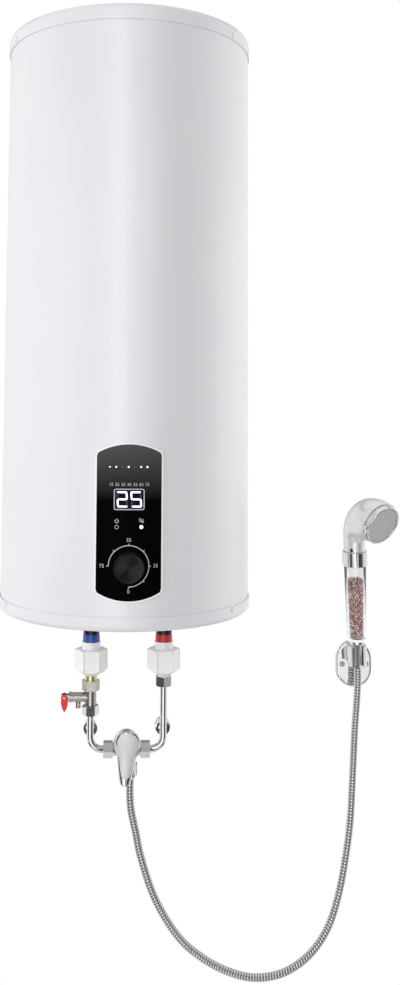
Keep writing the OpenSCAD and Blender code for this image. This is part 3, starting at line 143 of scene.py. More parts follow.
# Wall brackets and other plated steel: pressed plates with two legs each, welded to the tank. The
# zinc shows pale grey spangles about 5 mm wide.
zinc = material("zinc_plate", "#bfc2c4", "#aaaeb1", 20, Metallic=1.0)
tree, shader, place = opened(zinc)
spangle = node(tree, "ShaderNodeTexVoronoi", {"Vector": place, "Scale": 1 / (5 * MM)})
gloss = node(tree, "ShaderNodeMapRange", {"Value": spangle.outputs["Color"], "To Min": 0.3, "To Max": 0.5})
tree.links.new(gloss.outputs[0], shader.inputs["Roughness"])
dress(zinc, "wall_bracket", "lower_bracket", "flange_plate", "flange_bolts", "cold_inlet_pipe",
      "hot_outlet_pipe", "relief_spring", "holder_screws")

# Tank and insulation: a steel tank, glazed with blue enamel, inside poured foam. Both are closed in
# by the jacket. The foam's dull skin shows its cells, about seven to the centimetre.
enamel = material("tank_enamel", "#46586f", "#3a4a63", 25, Roughness=0.25)
dress(enamel, "inner_tank")
foam = material("poured_foam", "#e3d6a4", "#cbb97c", 12, Roughness=0.9)
tree, shader, place = opened(foam)
cells = node(tree, "ShaderNodeTexVoronoi", {"Vector": place, "Scale": 0.7 / MM})
bump = node(tree, "ShaderNodeBump", {"Height": cells.outputs["Distance"], "Strength": 0.5,
                                     "Distance": 0.6 * MM})
tree.links.new(bump.outputs[0], shader.inputs["Normal"])
dress(foam, "foam_insulation")

# Heater flange: a dull copper element and a grainy magnesium anode stand on the plate over a
# rubber gasket, and the wires end in ivory phenolic blocks and on a green circuit board.
copper = material("element_copper", "#b9784f", "#a0653f", 8, Metallic=1.0, Roughness=0.35)
dress(copper, "heating_element")
magnesium = material("cast_magnesium", "#b5b5b3", "#9c9c9a", 3, Metallic=1.0, Roughness=0.55)
dress(magnesium, "anode_rod")
rubber = material("black_rubber", "#262626", "#1a1a1a", 3, Roughness=0.7)
dress(rubber, "flange_gasket", "cable_gland", "potentiometer")
phenolic = material("ivory_phenolic", "#e6dec6", "#d8cfb4", 5, Roughness=0.5)
dress(phenolic, "safety_cutout", "terminal_block", "mixer_cartridge")
mask = material("solder_mask", "#1d5a35", "#17492b", 4, Roughness=0.4)
dress(mask, "control_board")

# Panel frame: a bezel of white ABS with a tray behind it for the board. It is moulded in one piece
# and clipped into the jacket. Its white is painted brighter than the coat's, as a painted highlight
# for the light its rounded edge catches.
tank_y = -185
panel_z = -492
panel_w, panel_h, panel_rise = 80, 170, 10
bezel_r, bezel_w, bezel_t = 170.2, 1.9, 2.1
tray_y, tray_w, tray_d, tray_h, tray_wall = -346.9, 58, 13.8, 160, 1.6


def arched(extra, corner):
    # A flat upright sheet with bowed ends; the bow's ends are the corners that get rounded.
    w, rise = panel_w + 2 * extra, panel_rise + extra
    radius = (w * w / 4 + rise * rise) / (2 * rise)
    half = math.asin(w / 2 / radius)
    middle = panel_h / 2 + rise - radius
    bm = bmesh.new()
    line = []
    for side in (1, -1):
        for i in range(25):
            a = side * half * (i / 12 - 1)
            z = panel_z + side * (middle + radius * math.cos(a))
            line.append(bm.verts.new((radius * math.sin(a) * MM, 0, z * MM)))
    bm.faces.new(line)
    bmesh.ops.bevel(bm, geom=[line[i] for i in (0, 24, 25, 49)], offset=corner * MM, segments=5,
                    profile=0.5, affect="VERTICES", material=-1)
    return bm


def keep_border(bm, width):
    border = bmesh.ops.inset_region(bm, faces=bm.faces[:], thickness=width * MM, use_boundary=True,
                                    use_even_offset=True)["faces"]
    bmesh.ops.delete(bm, geom=[f for f in bm.faces if f not in border], context="FACES")


def cut(bm, across, up=()):
    # Upright and level cuts through the sheet, so that it can follow the drum and be opened.
    for axis, places in (((1, 0, 0), across), ((0, 0, 1), up)):
        for at in places:
            bmesh.ops.bisect_plane(bm, geom=bm.verts[:] + bm.edges[:] + bm.faces[:], dist=1e-7,
                                   plane_co=Vector(axis) * at * MM, plane_no=axis)
    bmesh.ops.remove_doubles(bm, verts=bm.verts, dist=0.25 * MM)


def thicken(bm, depth, edge):
    # The sheet's back stays at zero, its front rises and its outer edges are eased.
    made = bmesh.ops.extrude_face_region(bm, geom=bm.faces[:])["geom"]
    front = [g for g in made if isinstance(g, bmesh.types.BMVert)]
    bmesh.ops.translate(bm, vec=(0, depth * MM, 0), verts=front)
    bmesh.ops.recalc_face_normals(bm, faces=bm.faces)
    raised = set(front)
    rim = [e for e in bm.edges if raised.issuperset(e.verts)
           and sum(all(v in raised for v in f.verts) for f in e.link_faces) == 1]
    bmesh.ops.bevel(bm, geom=rim, offset=edge * MM, segments=3, profile=0.5, affect="EDGES", material=-1)


def on_drum(bm, radius):
    # What lay flat is bent round the drum, and its thickness points outwards.
    for vert in bm.verts:
        x, out = vert.co.x, vert.co.y
        vert.co.y = tank_y * MM - math.sqrt((radius * MM) ** 2 - x * x) - out
    bmesh.ops.recalc_face_normals(bm, faces=bm.faces)


def piece(name, bm, finish, body, sharp=40):
    mesh = bpy.data.meshes.new(name)
    bm.to_mesh(mesh)
    bm.free()
    mesh.materials.append(finish)
    mesh.shade_smooth()
    mesh.set_sharp_from_angle(angle=math.radians(sharp))
    made = bpy.data.objects.new(name, mesh)
    bpy.context.scene.collection.objects.link(made)
    if body:
        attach(made, body)
    return made


# The base white is set above the coat's white: painted highlight for the light on the bezel's edge.
highlit_abs = material("white_abs_painted_highlight", "#ffffff", "#fafafa", 15, Roughness=0.3)
tree, shader, place = opened(highlit_abs)
# It comes from the same kind of mould as the covers, with the same spark grain.
grain = node(tree, "ShaderNodeTexNoise", {"Vector": place, "Scale": 0.9 / MM, "Detail": 2})
bump = node(tree, "ShaderNodeBump", {"Height": grain.outputs[0], "Strength": 0.03, "Distance": 0.3 * MM})
tree.links.new(bump.outputs[0], shader.inputs["Normal"])
bm = arched(extra=2, corner=5)
keep_border(bm, bezel_w)
cut(bm, range(-40, 41, 4))
thicken(bm, bezel_t, edge=0.35)
on_drum(bm, bezel_r)
tray = bmesh.ops.create_cube(bm, size=1, matrix=Matrix.Translation((0, tray_y * MM, panel_z * MM))
                             @ Matrix.Diagonal((tray_w * MM, tray_d * MM, tray_h * MM, 1)))["verts"]
mouth = min((f for f in bm.faces if set(f.verts) <= set(tray)), key=lambda f: f.calc_center_median().y)
bmesh.ops.inset_region(bm, faces=[mouth], thickness=tray_wall * MM)
bmesh.ops.translate(bm, vec=(0, (tray_d - tray_wall) * MM, 0), verts=mouth.verts)
bezel = piece("panel_bezel", bm, highlit_abs, "heater")
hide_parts("panel_frame")
dress(highlit_abs, "panel_frame")

# Panel face: black acrylic, formed to the drum, whose colour turns grey towards the top over its
# upper third. It lies in the bezel under an anti-glare film, cut out for the display and the dial's shaft.
face_r, face_t = 172.2, 1.2
fade_low, fade_high = -466, -396
show_z, show_w, show_h = -464, 38, 26
dial_z = -546
acrylic = material("black_acrylic", "#030304", "#050506", 20, Roughness=0.5, Specular_IOR_Level=0.02)
tree, shader, place = opened(acrylic)
split = node(tree, "ShaderNodeSeparateXYZ", {"Vector": place})
fade = node(tree, "ShaderNodeMapRange", {"Value": split.outputs["Z"], "From Min": fade_low * MM,
                                         "From Max": fade_high * MM})
greyed = node(tree, "ShaderNodeMix", {"Factor": fade.outputs[0], "A": linear("#030304"),
                                      "B": linear("#545454")}, data_type="RGBA")
tree.links.new(greyed.outputs["Result"], shader.inputs["Base Color"])
# Each opening has its height on the panel, its half width and its half height.
openings = ((show_z, show_w / 2 - 1, show_h / 2 - 1), (dial_z, 4, 4))
bm = arched(extra=0, corner=3)
cut(bm, [*range(-36, 37, 4), 1 - show_w / 2, show_w / 2 - 1],
    [z + side * half for z, reach, half in openings for side in (-1, 1)])
cut_out = [f for f in bm.faces for z, reach, half in openings
           if abs(f.calc_center_median().x) < reach * MM
           and abs(f.calc_center_median().z - z * MM) < half * MM]
bmesh.ops.delete(bm, geom=cut_out, context="FACES")
thicken(bm, face_t, edge=0.35)
on_drum(bm, face_r - face_t)
face = piece("panel_sheet", bm, acrylic, "heater")
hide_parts("panel_face")
dress(acrylic, "panel_face")

# Panel printing: the scale of the dial, plain numbers and two signs over the lamps, screen
# printed in pale grey ink. It is drawn flat and then laid on the curve of the face.
ink = material("screen_ink", "#d2d2d2", "#b9b9b9", 0.7, Roughness=0.55)
print_bm = bmesh.new()


def number(text, x, z, size):
    letters = bpy.data.curves.new("number", "FONT")
    letters.body = text
    letters.size = size * MM
    letters.align_x = "CENTER"
    letters.align_y = "CENTER"
    holder = bpy.data.objects.new("number", letters)
    flat = bpy.data.meshes.new_from_object(holder)
    bpy.data.objects.remove(holder)
    start = len(print_bm.verts)
    print_bm.from_mesh(flat)
    print_bm.verts.ensure_lookup_table()
    upright = Matrix.Translation((x * MM, 0, z * MM)) @ Matrix.Rotation(math.pi / 2, 4, "X")
    bmesh.ops.transform(print_bm, matrix=upright, verts=print_bm.verts[start:])


def arc(x, z, radius, width, start, sweep, steps):
    a = math.radians(start)
    line = [print_bm.verts.new(((x + r * math.sin(a)) * MM, 0, (z + r * math.cos(a)) * MM))
            for r in (radius - width / 2, radius + width / 2)]
    edge = print_bm.edges.new(line)
    bmesh.ops.spin(print_bm, geom=line + [edge], cent=(x * MM, 0, z * MM), axis=(0, 1, 0),
                   dvec=(0, 0, 0), angle=math.radians(sweep), steps=steps)


def stroke(x0, z0, x1, z1, width):
    a, b = Vector((x0, 0, z0)) * MM, Vector((x1, 0, z1)) * MM
    side = (b - a).cross(Vector((0, 1, 0))).normalized() * width / 2 * MM
    print_bm.faces.new([print_bm.verts.new(p) for p in (a - side, b - side, b + side, a + side)])


# The knob stands out below the eye, so the scale sits a little above its axis to look centred.
scale_z, scale_r, tick = -544.8, 24.9, 2.4
arc(0, scale_z, scale_r, width=1.1, start=-90, sweep=270, steps=54)
for turn in range(-90, 181, 45):
    a = math.radians(turn)
    stroke(scale_r * math.sin(a), scale_z + scale_r * math.cos(a),
           (scale_r + tick) * math.sin(a), scale_z + (scale_r + tick) * math.cos(a), width=1.0)
for text, x, z in (("75", -33, 0), ("55", 0, 31.5), ("35", 33, 0), ("0", 0, -30.5)):
    number(text, x, scale_z + z, size=6.2)
row_z, row_step = -446, 7.4
for i in range(7):
    number(str(15 + 10 * i), (i - 3) * row_step, row_z, size=5.4)
# One sign is an open ring with a bar in its gap, the other three small waves.
ring_x, ring_z = -15.2, -490.4
arc(ring_x, ring_z, 2.2, width=0.7, start=40, sweep=280, steps=20)
stroke(ring_x, ring_z + 0.4, ring_x, ring_z + 3.2, width=0.7)
wave_x, wave_z, wave_r = 13.8, -490.3, 1.5
for row in (-1.6, 0, 1.6):
    arc(wave_x, wave_z + row, wave_r, width=0.6, start=-70, sweep=140, steps=8)
    arc(wave_x + 2.8, wave_z + row + 1, wave_r, width=0.6, start=110, sweep=140, steps=8)
on_drum(print_bm, face_r + 0.06)
piece("panel_printing", print_bm, ink, "heater")

# Display: a silver trim with rounded corners round a dark blue window, behind which white lamps
# light the bars of two figures. Unlit bars just show.
silver = material("silver_lacquer", "#c9cbcf", "#b3b6bb", 0.8, Roughness=0.45)
smoked = material("smoked_window", "#0c0e1c", "#121428", 5, Roughness=0.4, Specular_IOR_Level=0.06)
dress(smoked, "display_module")
bar_lit = material("lit_bar", "#ffffff", "#ececfa", 1.5, Roughness=0.5,
                   Emission_Color=linear("#f6f6ff"), Emission_Strength=0.9)
bar_dark = material("unlit_bar", "#1d2038", "#232744", 1.5, Roughness=0.4)


def rounded(w, h, corner, steps):
    bm = bmesh.new()
    upright = Matrix.Rotation(math.pi / 2, 4, "X") @ Matrix.Diagonal((w * MM, h * MM, 1, 1))
    bmesh.ops.create_grid(bm, x_segments=1, y_segments=1, size=0.5, matrix=upright)
    bmesh.ops.bevel(bm, geom=bm.verts[:], offset=corner * MM, segments=steps, profile=0.5,
                    affect="VERTICES", material=-1)
    return bm


bm = rounded(show_w, show_h, corner=2.8, steps=6)
keep_border(bm, width=1.3)
bmesh.ops.translate(bm, vec=(0, 0, show_z * MM), verts=bm.verts)
cut(bm, range(-15, 16, 5))
thicken(bm, depth=2.4, edge=0.25)
on_drum(bm, face_r - 2)
trim = piece("display_rim", bm, silver, "heater")
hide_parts("display_trim")
dress(silver, "display_trim")

# A figure has seven bars. Each is given by its side, its height and whether it stands upright.
figure_w, figure_h, bar, slant = 13.6, 19.6, 2.2, 0.06
bars = {"a": (0, 1, 0), "b": (1, 0.5, 1), "c": (1, -0.5, 1), "d": (0, -1, 0), "e": (-1, -0.5, 1),
        "f": (-1, 0.5, 1), "g": (0, 0, 0)}
bar_out, bar_t = 0.1, 0.2
window_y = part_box("display_module")[0].y
lit_bm, dark_bm = bmesh.new(), bmesh.new()
for middle, shown in ((-8.6, "abged"), (8.6, "afgcd")):
    for name, (u, v, standing) in bars.items():
        bm = lit_bm if name in shown else dark_bm
        half = (figure_h / 4 if standing else figure_w / 2) - 0.35
        ends = [(-half, 0), (-half + bar / 2, -bar / 2), (half - bar / 2, -bar / 2), (half, 0),
                (half - bar / 2, bar / 2), (-half + bar / 2, bar / 2)]
        corners = []
        for p, q in ends:
            x, z = (q, p) if standing else (p, q)
            x += u * (figure_w / 2 - bar / 2)
            z += v * (figure_h / 2 - bar / 2)
            corners.append(bm.verts.new(((middle + x - slant * z) * MM, window_y - bar_out * MM,
                                         (show_z + z) * MM)))
        bm.faces.new(corners)
for bm, name, finish in ((lit_bm, "lit_bars", bar_lit), (dark_bm, "unlit_bars", bar_dark)):
    raised = bmesh.ops.extrude_face_region(bm, geom=bm.faces[:])["geom"]
    bmesh.ops.translate(bm, vec=(0, -bar_t * MM, 0),
                        verts=[g for g in raised if isinstance(g, bmesh.types.BMVert)])
    bmesh.ops.recalc_face_normals(bm, faces=bm.faces)
    piece(name, bm, finish, "heater")

# Lamps: domed lenses of clear styrene in red rims, pushed through the face from the board behind.
# Some are lit and shine white, the others only show their lens.
lamp_glow = material("lit_lens", "#ffffff", "#fff0f0", 1.7, Roughness=0.25,
                     Emission_Color=linear("#fff4f6"), Emission_Strength=1.0)
lamp_dark = material("unlit_lens", "#6d6668", "#585254", 1.7, Roughness=0.2)
# The red rims glow faintly of their own: a painted halo of lamp light, also round the unlit lamps.
glowing_rim = material("red_rim_painted_glow", "#7d1a2a", "#64121f", 1.7, Roughness=0.35,
                    Emission_Color=linear("#7a1020"), Emission_Strength=0.3)


def turned(outline, steps=64):
    # Radius against height in millimetres, spun round the upright axis.
    bm = bmesh.new()
    line = [bm.verts.new((r * MM, 0, z * MM)) for r, z in outline]
    edges = [bm.edges.new(pair) for pair in zip(line, line[1:])]
    bmesh.ops.spin(bm, geom=line + edges, cent=(0, 0, 0), axis=(0, 0, 1), dvec=(0, 0, 0),
                   angle=2 * math.pi, steps=steps, use_merge=True)
    bmesh.ops.remove_doubles(bm, verts=bm.verts, dist=1e-6)
    bmesh.ops.recalc_face_normals(bm, faces=bm.faces)
    return bm


def add(bm, other, matrix):
    mesh = bpy.data.meshes.new("part")
    bmesh.ops.transform(other, matrix=matrix, verts=other.verts)
    other.to_mesh(mesh)
    other.free()
    bm.from_mesh(mesh)
    bpy.data.meshes.remove(mesh)


def lens_place(x, z):
    front = tank_y - math.sqrt(face_r ** 2 - x * x)
    return (Matrix.Translation((x * MM, front * MM, z * MM)) @ Matrix.Rotation(math.pi / 2, 4, "X")
            @ Matrix.Rotation(math.asin(x / face_r), 4, "Y"))


lamp_z, lamp_step = -424.5, 7.7
lit, dull, rims, status_rim, status_off = [bmesh.new() for i in range(5)]
for i, size in enumerate((0.85, 1.05, 0.7, 1.2, 0.7, 1.05, 1.2)):
    at = lens_place((i - 3) * lamp_step - 1, lamp_z)
    dome = [(0, -2), (size, -2), (size, 0.1), (0.85 * size, 0.3), (0.6 * size, 0.45), (0, 0.55)]
    ring = [(size, -2), (size + 0.5, -2), (size + 0.5, 0.1), (size + 0.3, 0.18), (size, 0.1), (size, -2)]
    add(dull if i in (2, 4) else lit, turned(dome, 20), at)
    add(rims, turned(ring, 20), at)
status_x, status_z = 15.2, -497.5
dome = [(0, -2), (1.9, -2), (1.9, 0.1), (1.6, 0.4), (1, 0.65), (0, 0.75)]
ring = [(1.9, -2), (2.5, -2), (2.5, 0.12), (2.2, 0.22), (1.9, 0.12), (1.9, -2)]
add(lit, turned([(r * 1.2, z) for r, z in dome], 24), lens_place(status_x, status_z))
add(status_off, turned(dome, 24), lens_place(-status_x, status_z))
add(status_rim, turned(ring, 24), lens_place(-status_x, status_z))
lamps = piece("lit_lamps", lit, lamp_glow, "heater")
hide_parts("indicator_lamps", "status_lamps")
dress(lamp_glow, "indicator_lamps", "status_lamps")
piece("unlit_lamps", dull, lamp_dark, "heater")
piece("lamp_rims", rims, glowing_rim, "heater")
piece("status_ring", status_rim, ink, "heater")
piece("status_lens", status_off, acrylic, "heater")

# Temperature knob: a black phenolic knob with a spun aluminium cap, lacquered black. Its rim is
# fluted for grip, and the turning marks on the cap throw a bow-tie of light.
knob_h = 11
knob_y, shaft_y = (corner.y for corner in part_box("temperature_knob"))
shaft = (shaft_y - knob_y) / MM - knob_h
spun_cap = material("spun_black_cap", "#303031", "#282829", 4, Metallic=1.0, Roughness=0.19,
                    Anisotropic=0.75, Anisotropic_Rotation=0.375)
tree, shader, place = opened(spun_cap)
centred = node(tree, "ShaderNodeMapping", {"Vector": place, "Location": (0, -knob_y, -dial_z * MM)})
flat = node(tree, "ShaderNodeVectorMath", {0: centred.outputs[0], 1: (1, 0, 1)}, operation="MULTIPLY")
# Turning marks are about 0.2 mm apart; they are drawn 1 mm apart so that they show. A wave's scale
# of 0.314 to the millimetre gives that, because it repeats 20 / 2 pi times in each unit.
marks = node(tree, "ShaderNodeTexWave", {"Vector": flat.outputs[0], "Scale": 0.314 / MM, "Distortion": 0.4,
                                         "Detail": 1}, wave_type="RINGS", rings_direction="SPHERICAL")
bump = node(tree, "ShaderNodeBump", {"Height": marks.outputs[1], "Strength": 0.1, "Distance": 0.2 * MM})
tree.links.new(bump.outputs[0], shader.inputs["Normal"])
# The marks run round the axis, so the cap's gloss stretches along the radius at every point.
spread = node(tree, "ShaderNodeTangent", direction_type="RADIAL", axis="Y")
tree.links.new(spread.outputs[0], shader.inputs["Tangent"])
bm = turned([(0, -shaft), (2.9, -shaft), (2.9, 0), (18.6, 0), (19, 0.4), (18.7, 9.4), (18.1, 10.4),
             (17, 10.9), (16.2, 10.8), (15.8, 10.4), (0, 10.2)], 72)
flutes = [f for f in bm.faces if abs(f.normal.z) < 0.3 and f.calc_center_median().z > 2 * MM
          and f.calc_center_median().xy.length > 18 * MM]
bmesh.ops.inset_individual(bm, faces=flutes, thickness=0.25 * MM, depth=-0.35 * MM)
bmesh.ops.transform(bm, verts=bm.verts, matrix=Matrix.Translation((0, knob_y + knob_h * MM, dial_z * MM))
                    @ Matrix.Rotation(math.pi / 2, 4, "X"))
knob = piece("spun_knob", bm, spun_cap, "knob", sharp=30)
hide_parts("temperature_knob")
dress(spun_cap, "temperature_knob")

# Collars: coloured polypropylene rings on the two ports, blue for cold and red for hot. Above the
# ring, where they go up into the cover, their colour is painted near black as painted shade.
shade_from_z, edge = -664, 0.2
for name, pale, deep in (("cold_collar", "#3f62b4", "#2f4c96"), ("hot_collar", "#cf3a40", "#b22a31")):
    collar = material(name + "_polypropylene", pale, deep, 6, Roughness=0.25)
    tree, shader, place = opened(collar)
    split = node(tree, "ShaderNodeSeparateXYZ", {"Vector": place})
    above = node(tree, "ShaderNodeMapRange", {"Value": split.outputs["Z"], "From Min": (shade_from_z - edge) * MM,
                                              "From Max": (shade_from_z + edge) * MM})
    # From that height up the colour turns near black: painted shade under the cover.
    colour = shader.inputs["Base Color"].links[0].from_socket
    shade_painted = node(tree, "ShaderNodeMix", {"Factor": above.outputs[0], "A": colour, "B": linear("#141018")},
                   data_type="RGBA")
    tree.links.new(shade_painted.outputs["Result"], shader.inputs["Base Color"])
    dress(collar, name)

# Unions: six-sided nuts of white nylon, with a rib at each corner, that join the ports to the pipes
# without letting current pass. Each sits on a sleeve and a tail of the same satin nylon.
nylon = material("white_nylon", "#fbfbfa", "#f1f1f0", 8, Roughness=0.36)
tree, shader, place = opened(nylon)
# The moulded skin has about seven grains to the centimetre.
grain = node(tree, "ShaderNodeTexNoise", {"Vector": place, "Scale": 0.7 / MM, "Detail": 2})
bump = node(tree, "ShaderNodeBump", {"Height": grain.outputs[0], "Strength": 0.05, "Distance": 0.3 * MM})
tree.links.new(bump.outputs[0], shader.inputs["Normal"])
dress(nylon, "union_sleeves", "union_nuts", "union_tails")

# Safety valve: hot pressed brass, nickel plated over the rough skin of the pressing, so that it
# shines but never mirrors. The nipple above it and the stem inside it are bare turned brass, and so
# is the mixer's spindle.
brass = material("turned_brass", "#f5eaba", "#e9d89f", 5, Metallic=1.0, Roughness=0.34)
dress(brass, "brass_nipple", "relief_stem", "mixer_spindle")
nickel = material("nickel_plate", "#c0bdb6", "#aba8a0", 4, Metallic=1.0)
tree, shader, place = opened(nickel)
# The pressing's skin rolls gently, every 7 mm or so.
skin = node(tree, "ShaderNodeTexNoise", {"Vector": place, "Scale": 0.15 / MM, "Detail": 2})
gloss = node(tree, "ShaderNodeMapRange", {"Value": skin.outputs[0], "To Min": 0.2, "To Max": 0.36})
tree.links.new(gloss.outputs[0], shader.inputs["Roughness"])
bump = node(tree, "ShaderNodeBump", {"Height": skin.outputs[0], "Strength": 0.04, "Distance": 0.4 * MM})
tree.links.new(bump.outputs[0], shader.inputs["Normal"])
dress(nickel, "valve_body")

# Relief spring: plated steel wire wound on the stem inside the valve. It stands against the cap.
bm = bmesh.new()
bm.from_mesh(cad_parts["relief_spring"].data)
bmesh.ops.remove_doubles(bm, verts=bm.verts, dist=1e-6)
coil = piece("wound_spring", bm, zinc, "heater")
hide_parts("relief_spring")
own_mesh(coil)

# Relief lever: a leaf of red acetal that hangs from the valve's pin. It is moulded in one piece,
# and the polished mould leaves it an even sheen.
acetal = material("red_acetal", "#e2323c", "#cf2632", 3, Roughness=0.3)
dress(acetal, "relief_lever")

# Pipes, nuts and mixer: brass, bent or cast, polished and chromed. The chrome is a mirror with
# faint polishing swirls about 11 mm long, so its gloss wanders a little.
chrome = material("chrome_plate", "#e3e4e6", "#dadbdd", 12, Metallic=1.0)
tree, shader, place = opened(chrome)
swirl = node(tree, "ShaderNodeTexNoise", {"Vector": place, "Scale": 0.09 / MM, "Detail": 3})
gloss = node(tree, "ShaderNodeMapRange", {"Value": swirl.outputs[0], "To Min": 0.05, "To Max": 0.12})
tree.links.new(gloss.outputs[0], shader.inputs["Roughness"])
dress(chrome, "cold_pipe", "hot_pipe", "pipe_nuts", "rear_ports", "port_cap", "mixer_body",
      "cartridge_cover", "hose_nut", "hose_cone", "handle_collar", "spray_ring", "holder_plate",
      "holder_cradle")

# Mixer lever: a die cast zinc spoon on the spindle, chromed, with a satin shield let into its
# front. It is broad over the cartridge and narrows to a tip that turns out for the fingers.
satin = material("satin_shield", "#dedfe1", "#d5d6d8", 14, Metallic=0.3, Roughness=0.44)
spindle_at, lever_lean = (0.005, -0.185, -0.8105), math.radians(4)
lever_place = Matrix.Translation(spindle_at) @ Matrix.Rotation(lever_lean, 4, "Y")


def lofted(rings, steps):
    # Each ring is a matrix that turns the unit circle into one section of the form.
    bm = bmesh.new()
    last = None
    for matrix in rings:
        loop = bmesh.ops.create_circle(bm, segments=steps, radius=1, matrix=matrix)["verts"]
        edges = list({e for v in loop for e in v.link_edges})
        if last:
            bmesh.ops.bridge_loops(bm, edges=last[1] + edges)
        else:
            bm.faces.new(loop)
        last = loop, edges
    bm.faces.new(last[0])
    bmesh.ops.recalc_face_normals(bm, faces=bm.faces)
    return bm


def between(table, at):
    for (a, *low), (b, *high) in zip(table, table[1:]):
        if a >= at >= b:
            t = (a - at) / (a - b)
            return [p + (q - p) * t for p, q in zip(low, high)]
    return list(table[-1][1:])


# Height against the spindle, half width, back and front, all in millimetres. Above the spindle the
# back leans out, which leaves room for the head when the tip is lifted.
spoon = ((24.5, 2, 29.3, 31.2), (24, 5.4, 29.1, 32), (23, 8, 28.7, 32.6), (20.5, 12, 27.7, 33.2),
         (16, 15.3, 25.9, 33.7), (11.6, 17, 24.2, 33.9), (7.8, 17.4, 22.7, 34), (1.5, 16.7, 20.1, 34),
         (-4.8, 14.9, 19.5, 33.9), (-11, 13.2, 19.6, 33.6), (-17.5, 11.8, 23.4, 34.2),
         (-23.8, 10.7, 25.4, 35.3), (-30, 9.6, 26.4, 36.5), (-36.4, 8.4, 27.4, 37.7),
         (-41.5, 7.2, 28.7, 38.5), (-44, 4.8, 30.4, 38.6), (-44.5, 2.4, 31.6, 38.4))
spoon_top, spoon_len = 24.5, 69
shield_top, shield_len = 22.6, 58
shares = [0.5 * (1 - math.cos(math.pi * i / 44)) for i in range(45)]


def spoon_ring(up, like, share, back_up, proud):
    # A section at one height that takes its width from another, so a smaller form keeps the outline.
    half = between(spoon, like)[0] * share
    back, front = between(spoon, up)[1:]
    back += (front - back) * back_up
    front += proud
    return (lever_place @ Matrix.Translation((0, -(front + back) / 2 * MM, up * MM))
            @ Matrix.Diagonal((half * MM, (front - back) / 2 * MM, 1, 1)))


rings = [spoon_ring(spoon_top - spoon_len * t, spoon_top - spoon_len * t, share=1, back_up=0, proud=0)
         for t in shares]
lever = piece("lever_spoon", lofted(rings, 48), chrome, "mixer_lever")
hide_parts("mixer_lever")
rings = [spoon_ring(shield_top - shield_len * t, spoon_top - spoon_len * t, share=0.85, back_up=0.55,
                    proud=0.35) for t in shares]
bm = lofted(rings, 48)
# The shield's back is flat where it passes over the end of the spindle.
shield_back, spindle_room = 30.8, 12
for vert in bm.verts:
    spot = lever_place.inverted() @ vert.co
    if abs(spot.z) < spindle_room * MM and -spot.y < shield_back * MM:
        spot.y = -shield_back * MM
        vert.co = lever_place @ spot
piece("lever_shield", bm, satin, "mixer_lever")
dress(satin, "mixer_lever")

# Shower hose: a chromed steel strip wound into interlocked ribs around a rubber tube. It hangs
# free between the mixer's nut and the cone of the hand shower.
hose_steel = material("hose_steel", "#e0e1e3", "#d3d4d7", 8, Metallic=1.0)
tree, shader, place = opened(hose_steel)
# The strip's gloss wanders over about 7 mm.
swirl = node(tree, "ShaderNodeTexNoise", {"Vector": place, "Scale": 0.14 / MM, "Detail": 2})
gloss = node(tree, "ShaderNodeMapRange", {"Value": swirl.outputs[0], "To Min": 0.1, "To Max": 0.18})
tree.links.new(gloss.outputs[0], shader.inputs["Roughness"])
# The steel is painted darker the deeper it lies between the ribs: painted shade in the grooves.
depth = node(tree, "ShaderNodeAttribute", attribute_name="gap")
steel_tint = shader.inputs["Base Color"].links[0].from_socket
groove_shaded = node(tree, "ShaderNodeMix", {"Factor": depth.outputs["Fac"], "A": steel_tint,
                                      "B": linear("#363638")}, data_type="RGBA")
tree.links.new(groove_shaded.outputs["Result"], shader.inputs["Base Color"])

hose_route = [
    (10, -185, -864), (10, -185, -875), (10.5, -184.5, -888), (12.2, -182.4, -902),
    (15.5, -178.6, -918), (19.5, -174, -936), (27, -166, -971), (47, -155, -1030),
    (79, -144, -1085), (113, -135, -1119), (153, -127, -1144), (193, -120, -1157),
    (235, -112, -1155), (273, -104, -1136), (301, -96, -1105), (319, -87, -1066),
    (332, -78, -1020), (343, -67, -968), (350, -56, -909), (358, -41, -840),
    (362.3, -34.2, -811), (365.4, -29.2, -788), (366.4, -27.7, -776), (366.5, -27.85, -763),
    (366.02, -28.95, -752.5),
]
hose_d = 11
hose_ribs = 205
# A smooth line through the points of the route, in twelve steps from each to the next.
knots = [Vector(p) * MM for p in hose_route]
knots = [knots[0]] + knots + [knots[-1]]
hose_line = []
for a, b, c, d in zip(knots, knots[1:], knots[2:], knots[3:]):
    for step in range(12):
        t = step / 12
        hose_line.append(0.5 * (2 * b + (c - a) * t + (2 * a - 5 * b + 4 * c - d) * t * t
                                + (3 * b - a - 3 * c + d) * t ** 3))
hose_line.append(knots[-1])
hose_run = [0.0]
for a, b in zip(hose_line, hose_line[1:]):
    hose_run.append(hose_run[-1] + (b - a).length)
hose_length = hose_run[-1]

# Two directions square to the line at each of its points, carried along so that they never twist.
across = Vector((1, 0, 0))
hose_frames = []
for i in range(len(hose_line)):
    along = (hose_line[min(i + 1, len(hose_line) - 1)] - hose_line[max(i - 1, 0)]).normalized()
    across = (across - along * across.dot(along)).normalized()
    hose_frames.append((across.copy(), along.cross(across)))

